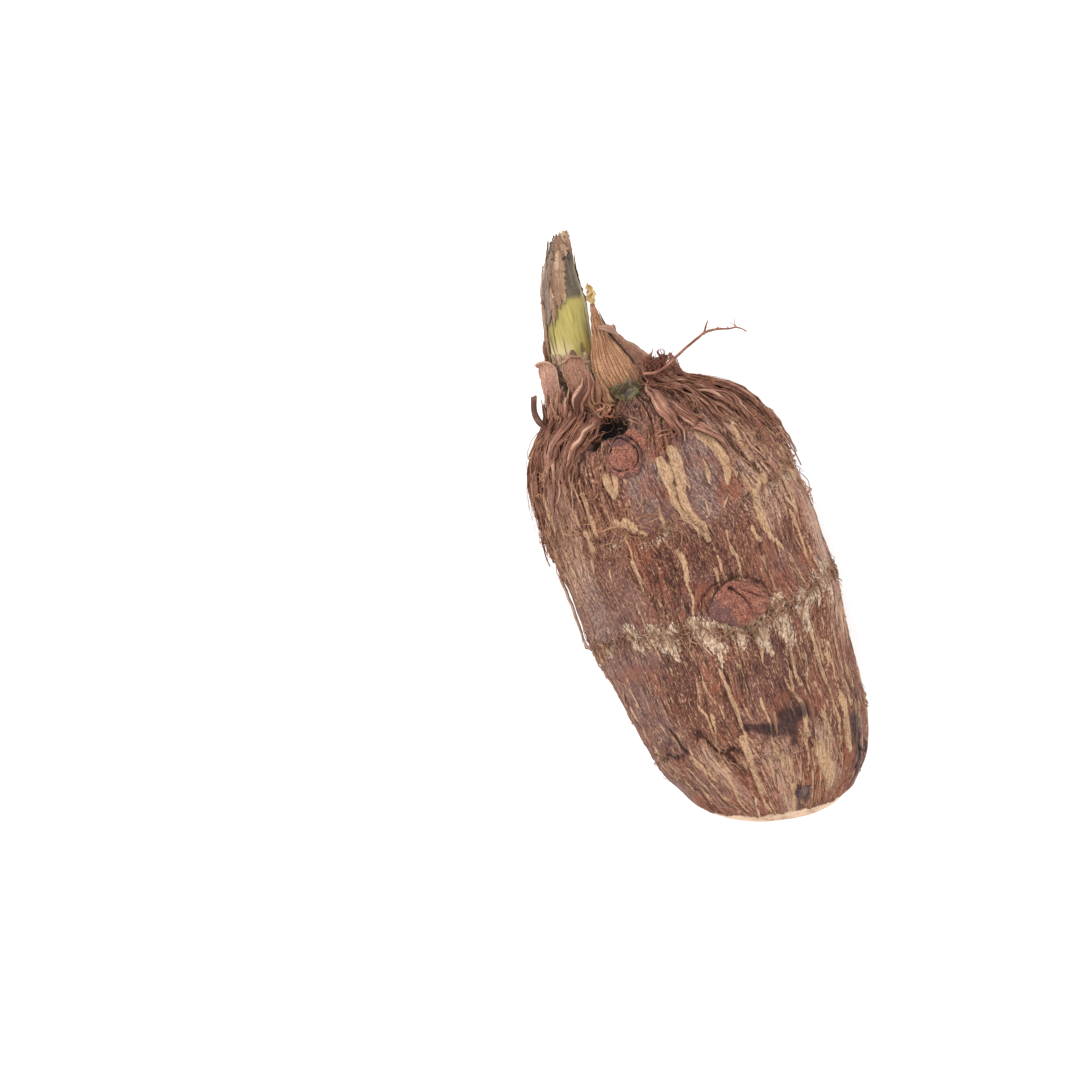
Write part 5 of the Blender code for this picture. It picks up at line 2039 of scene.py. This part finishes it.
    def torn_strips(self) -> Piece:
        """Makes the flat torn strips.

        Returns:
            The piece, standing for the CAD straps.
        """
        ribbons = Ribbons(self.wall)
        self._broad(ribbons, self.straps_in_view, self.shreds)
        self._broad(ribbons, self.leafy_straps, self.leafy_shreds)
        share = shares(self.strip_points)
        for drape in self.strips:
            for _ in range(drape.count):
                line, normal = self.route(drape, self.strip_points)
                shift = self.pick(0, 90)
                kinks = joined(*(self.kinks.at(line * 0.3 + shift * k) for k in (1, 2, 3)))
                line += 1.1 * share[:, None] ** 0.5 * kinks
                half = self.pick(*drape.width)
                width = half * np.minimum(1, 0.45 + 2.2 * share) * np.minimum(1, 0.12 + 2.6 * (1 - share))
                width *= 1 + 0.16 * self.draw.normal(size=self.strip_points)
                ribbons.add(line, normal + self.draw.normal(0, 0.25, 3), width, self.pick(0.1, 0.5), 0.14)
        finish = FibreFinish("husk_strip", rgb(88, 50, 38), rgb(156, 104, 84), rgb(220, 174, 146))
        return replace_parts(ribbons.piece("husk_strips", finish), *self.straps)

    def hanging_fibres(self) -> Piece:
        """Makes the fine fibres between and over the strips.

        Returns:
            The piece.
        """
        strands = Strands()
        share = shares(self.fibre_points)
        for drape in self.fibres:
            for _ in range(drape.count):
                line, _ = self.route(drape, self.fibre_points)
                wave = self.pick(0.2, 1.3)
                phase = self.pick(0, math.tau, 3)
                for axis in range(3):
                    line[:, axis] += wave * share * np.sin(share * self.pick(5, 14) + phase[axis])
                line[:, 2] = np.maximum(line[:, 2], FLOOR_GAP)
                strands.add(line, self.pick(*drape.width), 0.25, 0.6)
        finish = FibreFinish("husk_fibre", rgb(112, 68, 50), rgb(176, 122, 96), rgb(234, 190, 158))
        return strands.piece("husk_fibres", finish)

    def curl(self, angle: float, y: float, heading: float, length: float, turn: float, lift: float) -> Array:
        """A hair that wanders over the skin.

        Args:
            angle: where it starts.
            y: where it starts.
            heading: the way it sets off, in radians from +X.
            length: its length.
            turn: how strongly it curls.
            lift: how far it stands off the skin.

        Returns:
            Its points.
        """
        count = max(8, int(length / 0.9))
        steps = length / count
        bends = blurred(self.draw.normal(0, 1, count), 1.3, 0, False) * turn * 1.4 + self.draw.normal(0, 0.05)
        way = heading + np.cumsum(bends)
        across = np.cumsum(np.cos(way)) * steps
        along = y + np.cumsum(np.sin(way)) * steps
        share = shares(count)
        rise = 0.15 + lift * np.abs(np.sin(share * math.pi * self.pick(0.8, 2.4)))
        turned = angle - np.degrees(across / MEAN_RADIUS)
        return self.skin.on_skin(turned, np.clip(along, *self.skin_reach), rise)[0]

    def curly_hairs(self) -> Piece:
        """Makes the loose curly hairs on the flanks, round the rings and over the bare skin.

        Returns:
            The piece.
        """
        strands = Strands()
        # Each cluster: count, angles, y, length, curl and lift.
        clusters = (
            (84, (122, 182), (10, 34), (5, 15), 0.65, 1.9),
            (26, (100, 122), (8, 19), (4, 11), 0.8, 1.2),
            (40, (8, 60), (20, 36), (4, 12), 0.45, 1.2),
            (24, (0, 26), (6, 26), (4, 12), 0.5, 1.5),
            (46, (60, 100), (30, 39), (3, 9), 0.5, 0.9),
            (16, (96, 128), (33, 43), (3, 8), 0.5, 1.6),
            (40, (126, 176), (34, 46), (4, 10), 0.6, 2.6),
            (22, (72, 92), (-20, -8), (2, 5), 0.6, 2.4),
            (90, (0, 360), (-50, 12), (2, 7), 0.35, 0.5),
            (90, (186, 350), (6, 34), (4, 13), 0.6, 1.2),
        )
        for count, angles, levels, lengths, turn, lift in clusters:
            for _ in range(count):
                heading = -math.pi / 2 + self.draw.normal(0, 0.7)
                line = self.curl(self.pick(*angles), self.pick(*levels), heading,
                                 self.pick(*lengths), turn, self.pick(0, lift))
                strands.add(line, self.pick(0.05, 0.13), 0.3, 0.5)
        finish = FibreFinish("husk_hair", rgb(144, 92, 66), rgb(204, 152, 116), rgb(244, 210, 178))
        return strands.piece("curly_hairs", finish)

    def ring_fringes(self) -> Piece:
        """Makes the short fibres that hang over the leaf scar rings.

        Returns:
            The piece.
        """
        strands = Strands()
        for (ring, bold), count in zip(self.skin.rings, (240, 420, 70)):
            for _ in range(count):
                angle = self.pick(0, 360)
                start = -ring.offset(angle, 0.0) + self.pick(-0.8, 2.6)
                length = self.pick(1.5, 5.5) * (0.6 + 0.5 * bold)
                heading = -math.pi / 2 + self.draw.normal(0, 0.32)
                line = self.curl(angle, start, heading, length, 0.28, self.pick(0.1, 0.9))
                strands.add(line, self.pick(0.08, 0.2), 0.3, 0.4)
        finish = FibreFinish("ring_fibre", rgb(132, 90, 70), rgb(182, 138, 110), rgb(226, 196, 162))
        return strands.piece("ring_fringes", finish)

    def flakes(self, name: str, groups: Sequence[Sequence], widest: float, finish: FibreFinish) -> Piece:
        """Makes small flakes that lift off the skin.

        Args:
            name: the piece's name.
            groups: each group's count, angles, y, lengths and lift.
            widest: the widest flake's half width.
            finish: what they are made of.

        Returns:
            The piece.
        """
        ribbons = Ribbons(0.1, 2)
        share = shares(7)
        for count, angles, levels, lengths, lift in groups:
            for _ in range(count):
                angle, y = self.pick(*angles), self.pick(*levels)
                length, rise = self.pick(*lengths), self.pick(0.2, 1) * lift
                turns = angle + self.draw.normal(0, 2.5) * share
                along = np.maximum(y - length * share, self.flake_end)
                points, normal = self.skin.on_skin(turns, along, -0.15 + rise * share**2)
                half = self.pick(0.3, 1.0) * widest * (1 - 0.75 * share**2)
                ribbons.add(points, normal, half, 0.3)
        return ribbons.piece(name, finish)

    def all_flakes(self) -> list[Piece]:
        """Makes the light flakes, most of them along the rings, and the dark curled ones by the base.

        Returns:
            The pieces.
        """
        light = FibreFinish("bark_flake", rgb(126, 84, 66), rgb(172, 126, 98), rgb(214, 178, 146))
        dark = FibreFinish("bark_flake_dark", rgb(62, 42, 42), rgb(96, 70, 68), rgb(138, 106, 98))
        light_groups = (
            (90, (0, 360), (-62, 26), (2, 6), 0.7), (60, (0, 360), (-19, -12), (1.5, 4.5), 0.8),
            (50, (0, 360), (7, 15), (1.5, 5), 0.8), (20, (60, 120), (-66, -58), (1.5, 4), 0.8),
        )
        dark_groups = ((9, (4, 32), (-60, -50), (3.0, 7.0), 0.9), (4, (70, 84), (-63, -59), (1.5, 3.0), 0.5),
                       (12, (200, 340), (-58, -46), (2, 5), 0.8))
        return [self.flakes("bark_flakes", light_groups, 0.62, light),
                self.flakes("dark_flakes", dark_groups, 1.5, dark)]


@dataclass
class Rootlets:
    """The dried rootlets, the matted tuft at the collar and the loose root curls."""

    skin: CormSkin
    seed: int = 131
    long_route: Rows = (
        (.01, .12, .93), (.13, .05, .84), (.25, .16, .62), (.34, .30, .38), (.47, .48, .09), (.60, .64, .06),
        (.68, .69, .06), (.75, .67, .06), (.84, .58, .06), (.93, .52, .06), (.99, .33, .06),
    )
    fork_route: Rows = ((.635, .67, .06), (.667, .84, .08), (.705, .98, .09))

    def build(self) -> list[Piece]:
        """Makes every rootlet piece.

        Returns:
            The pieces.
        """
        self.draw = np.random.default_rng(self.seed)
        self.pick = self.draw.uniform
        return [self._long(), self._edge(), self._tuft(), self._curls()]

    def _long(self) -> Piece:
        """The long forked rootlet that stands off the shoulder.

        Returns:
            The piece, standing for the CAD rootlet.
        """
        shape = NodeShape("long_rootlet")
        strands = Strands()
        for route, radius, count in ((self.long_route, 0.36, 60), (self.fork_route, 0.26, 16)):
            line = smooth_path([shape.at(*share) for share in route], count)
            line = line + 0.12 * joined(*(Grain(140 + k).at(line * 0.6) for k in range(3)))
            strands.add(line, radius, 0.5)
        spots = smooth_path([shape.at(*share) for share in self.long_route], 100)
        for _ in range(16):
            start = spots[int(self.pick(0.15, 0.95) * 99)]
            end = start + self.draw.normal(0, 1.0, 3) + (0.6, 0.5, 0)
            strands.add(smooth_path([start, (start + end) / 2 + self.draw.normal(0, 0.25, 3), end], 8),
                        self.pick(0.06, 0.12), 0.3)
        finish = FibreFinish("root_wiry", rgb(120, 74, 58), rgb(172, 120, 98), rgb(220, 178, 154))
        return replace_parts(strands.piece("long_rootlet_wire", finish), "long_rootlet")

    def _edge(self) -> Piece:
        """The pale rootlet along the left edge with its side twig.

        Returns:
            The piece, standing for the CAD rootlet.
        """
        line, _ = self.skin.on_skin(*np.array(smooth_path(
            ((173, 8), (174, 5), (178, -2), (177, -10), (171, -18)), 50)).T, lift=1.1)
        twig, _ = self.skin.on_skin(*np.array(smooth_path(((177, -9), (184, -12), (190, -13)), 14)).T, lift=1.3)
        strands = Strands()
        strands.add(line, 0.42, 0.35, 0.5)
        strands.add(twig, 0.24, 0.3)
        finish = FibreFinish("root_pale", rgb(150, 112, 90), rgb(196, 164, 142), rgb(224, 202, 182))
        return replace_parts(strands.piece("edge_rootlet_wire", finish), "edge_rootlet")

    def _walk(self, start: Array, way: Array, steps: int, stride: float, turn: float) -> Array:
        """A fibre that wanders freely through space.

        Args:
            start: where it starts.
            way: the way it sets off.
            steps: how many steps it takes.
            stride: length of a step.
            turn: how much each step may turn.

        Returns:
            Its points.
        """
        points, way = [start], unit(way)
        for _ in range(steps):
            way = unit(way + self.draw.normal(0, turn, 3))
            points.append(points[-1] + way * stride)
        return smooth_path(points, steps * 2)

    def _tuft(self) -> Piece:
        """The matted dark fibres at the collar with spiky ends.

        Returns:
            The piece, standing for the CAD tuft.
        """
        shape = NodeShape("root_tuft")
        middle, half = (shape.low + shape.high) / 2, (shape.high - shape.low) / 2
        strands = Strands()
        for _ in range(150):
            start = middle + self.pick(-1, 1, 3) * half * (1.1, 0.9, 0.9)
            way = self.draw.normal(0, 1, 3) + (0.3, 0.5, 0.2)
            line = self._walk(start, way, 6, self.pick(0.35, 0.7), 0.45)
            strands.add(line, self.pick(0.08, 0.22), 0.25)
        for _ in range(40):
            start = middle + self.pick(-1, 1, 3) * half + (1.4, -0.6, 0.4)
            way = np.array((1.0, 0.9, 0.1)) + self.draw.normal(0, 0.5, 3)
            line = self._walk(start, way, 5, self.pick(0.3, 0.75), 0.25)
            strands.add(line, self.pick(0.08, 0.2), 0.15)
        finish = FibreFinish("root_dark", rgb(98, 54, 42), rgb(146, 90, 70), rgb(198, 142, 116))
        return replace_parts(strands.piece("root_tuft_fibres", finish), "root_tuft")

    def _curls(self) -> Piece:
        """The light reddish root curls in front of the scales.

        Returns:
            The piece, standing for the CAD curl.
        """
        shape = NodeShape("root_curl")
        middle = (shape.low + shape.high) / 2
        strands = Strands()
        for _ in range(15):
            centre = middle + self.draw.normal((-1.5, -1.1, 0), (1.3, 0.7, 0.4))
            radius, turns = self.pick(0.5, 1.5), self.pick(0.35, 0.95) * math.tau
            tilt = self.draw.normal(0, 0.4, 2)
            share = shares(26)
            turn = self.pick(0, math.tau) + turns * share
            flat = joined(np.cos(turn), np.sin(turn), tilt[0] * np.cos(turn) + tilt[1] * np.sin(turn))
            flat[:, 1] *= self.pick(0.5, 1.3)
            line = centre + flat * (radius * (0.6 + 0.7 * share))[:, None]
            line += 0.25 * joined(*(Grain(150 + k).at(line * 0.8) for k in range(3)))
            strands.add(line, self.pick(0.08, 0.17), 0.3)
        finish = FibreFinish("root_red", rgb(150, 92, 66), rgb(200, 142, 110), rgb(228, 182, 150))
        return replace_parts(strands.piece("root_curls", finish), "root_curl")


# ---- stage


@dataclass
class Studio:
    """The floor, the soft light and the camera."""

    camera_place: tuple[float, float, float] = (-0.0362, 0.01775, 0.778)
    camera_turn: float = -0.3316
    lens: float = 100.0
    key_place: tuple[float, float, float] = (-0.5, 0.7, 1.1)
    key_size: float = 1.0
    key_power: float = 9.0
    key_aim: tuple[float, float, float] = (0.0, 0.0, 0.03)
    sky: float = 1.62
    floor_half: float = 3.0
    floor_paint: Colour = (0.96, 0.96, 0.96)
    sensor: float = 36.0
    nearest: float = 0.01

    def build(self) -> None:
        """Makes the floor, the light and the camera."""
        scene = bpy.context.scene
        bm = bmesh.new()
        bmesh.ops.create_grid(bm, x_segments=1, y_segments=1, size=self.floor_half)
        mesh = bpy.data.meshes.new("floor")
        bm.to_mesh(mesh)
        bm.free()
        floor = bpy.data.objects.new("floor", mesh)
        paint = Shader("floor_white")
        paint.finish(self.floor_paint, 0.9, None, 0.0)
        mesh.materials.append(paint.material)
        scene.collection.objects.link(floor)

        world = bpy.data.worlds.new("studio")
        world.use_nodes = True
        light_in = world.node_tree.nodes["Background"].inputs
        light_in["Color"].default_value = (1, 1, 1, 1)
        light_in["Strength"].default_value = self.sky
        scene.world = world
        light = bpy.data.lights.new("key", "AREA")
        light.size = self.key_size
        light.energy = self.key_power
        key = bpy.data.objects.new("key", light)
        key.location = self.key_place
        key.rotation_euler = (Vector(self.key_aim) - key.location).to_track_quat("-Z", "Y").to_euler()
        scene.collection.objects.link(key)

        lens = bpy.data.cameras.new("camera")
        lens.lens = self.lens
        lens.sensor_width = self.sensor
        lens.clip_start = self.nearest
        camera = bpy.data.objects.new("camera", lens)
        camera.location = self.camera_place
        camera.rotation_euler = (0.0, 0.0, self.camera_turn)
        scene.collection.objects.link(camera)
        scene.camera = camera
        scene.view_settings.view_transform = "Standard"


def main() -> None:
    """Builds every sub-assembly in order and reports each piece."""
    logging.basicConfig(level=logging.INFO, format="%(name)s: %(message)s")
    Studio().build()
    skin = CormSkin()
    pieces = [skin.piece()]
    stalk = LeafStalk()
    pieces += [stalk.piece(), *stalk.peelings(), stalk.torn_threads()]
    pieces += LeafScales().build()
    rings = BudFinish().material()
    side_gaps = (((-.6, .2, .03), (-.1, .5, .06), (.5, .3, .03)),
                 ((-.3, -.5, .03), (.2, -.35, .05), (.55, -.05, .02)))
    round_edge = ((0, 1.0), (90, 1.05), (150, .95), (220, 1.04), (290, .98))
    buds = (
        SideBud(skin, "upper_bud", 104.6, 29.9, (4.6, 5.4), 2.7, (
            ((-.1, .86, .04), (-.42, .60, .03), (-.7, .28, .015)),
            ((-.06, .84, .04), (.28, .70, .03), (.62, .42, .02)),
            ((.80, .3, .02), (.84, -.15, .035), (.66, -.55, .02))),
            ((-50, 1.08), (0, .92), (30, .88), (62, .97), (88, 1.1), (112, 1.03), (150, .9), (200, 1), (240, 1.06),
             (270, .97)),
            (-2, 88, .92, 1.42, 1.5), rings, 0.06, 1.0, eye=(-.1, .8), groove=1.0, seed=1),
        SideBud(skin, "middle_bud", 81.9, -12.2, (6.9, 5.7), 2.7, (
            ((-.1, .74, .03), (-.07, .67, .09), (0, .55, .04), (.2, .2, .035), (.34, -.25, .025), (.36, -.66, .01)),
            ((.2, .62, .008), (.5, .25, .02), (.85, -.1, .008))),
            ((-22, 1.20), (2, 1.06), (30, .93), (62, .95), (94, 1.10), (124, .94), (150, .95), (172, 1.07),
             (200, 1), (232, .90), (258, 1.04), (284, .92), (312, 1.04)),
            (-46, -4, .86, 1.20, 0.9), rings, 0.36, 0.7, (-1.0, -0.3), (-.07, .62), seed=2),
        SideBud(skin, "left_bud", 214, 21, (4.7, 4.4), 2.8, side_gaps, round_edge, (0, 180, .95, 1.5, 2.0),
                rings, 0.2, seed=3),
        SideBud(skin, "right_bud", 326, -38, (4.7, 4.4), 2.8, side_gaps, round_edge, (-10, 170, .95, 1.5, 2.0),
                rings, 0.2, seed=4),
    )
    for bud in buds:
        pieces += [bud.dome(), bud.side_lobe()]
    husk = Husk(skin)
    pieces += [husk.torn_strips(), husk.hanging_fibres(), husk.curly_hairs(), husk.ring_fringes(),
               husk.sheath_foot(), *husk.all_flakes()]
    pieces += Rootlets(skin).build()
    for piece in pieces:
        LOG.info("%s: %d faces", piece.name, len(piece.data.polygons))


if __name__ == "__main__":
    main()
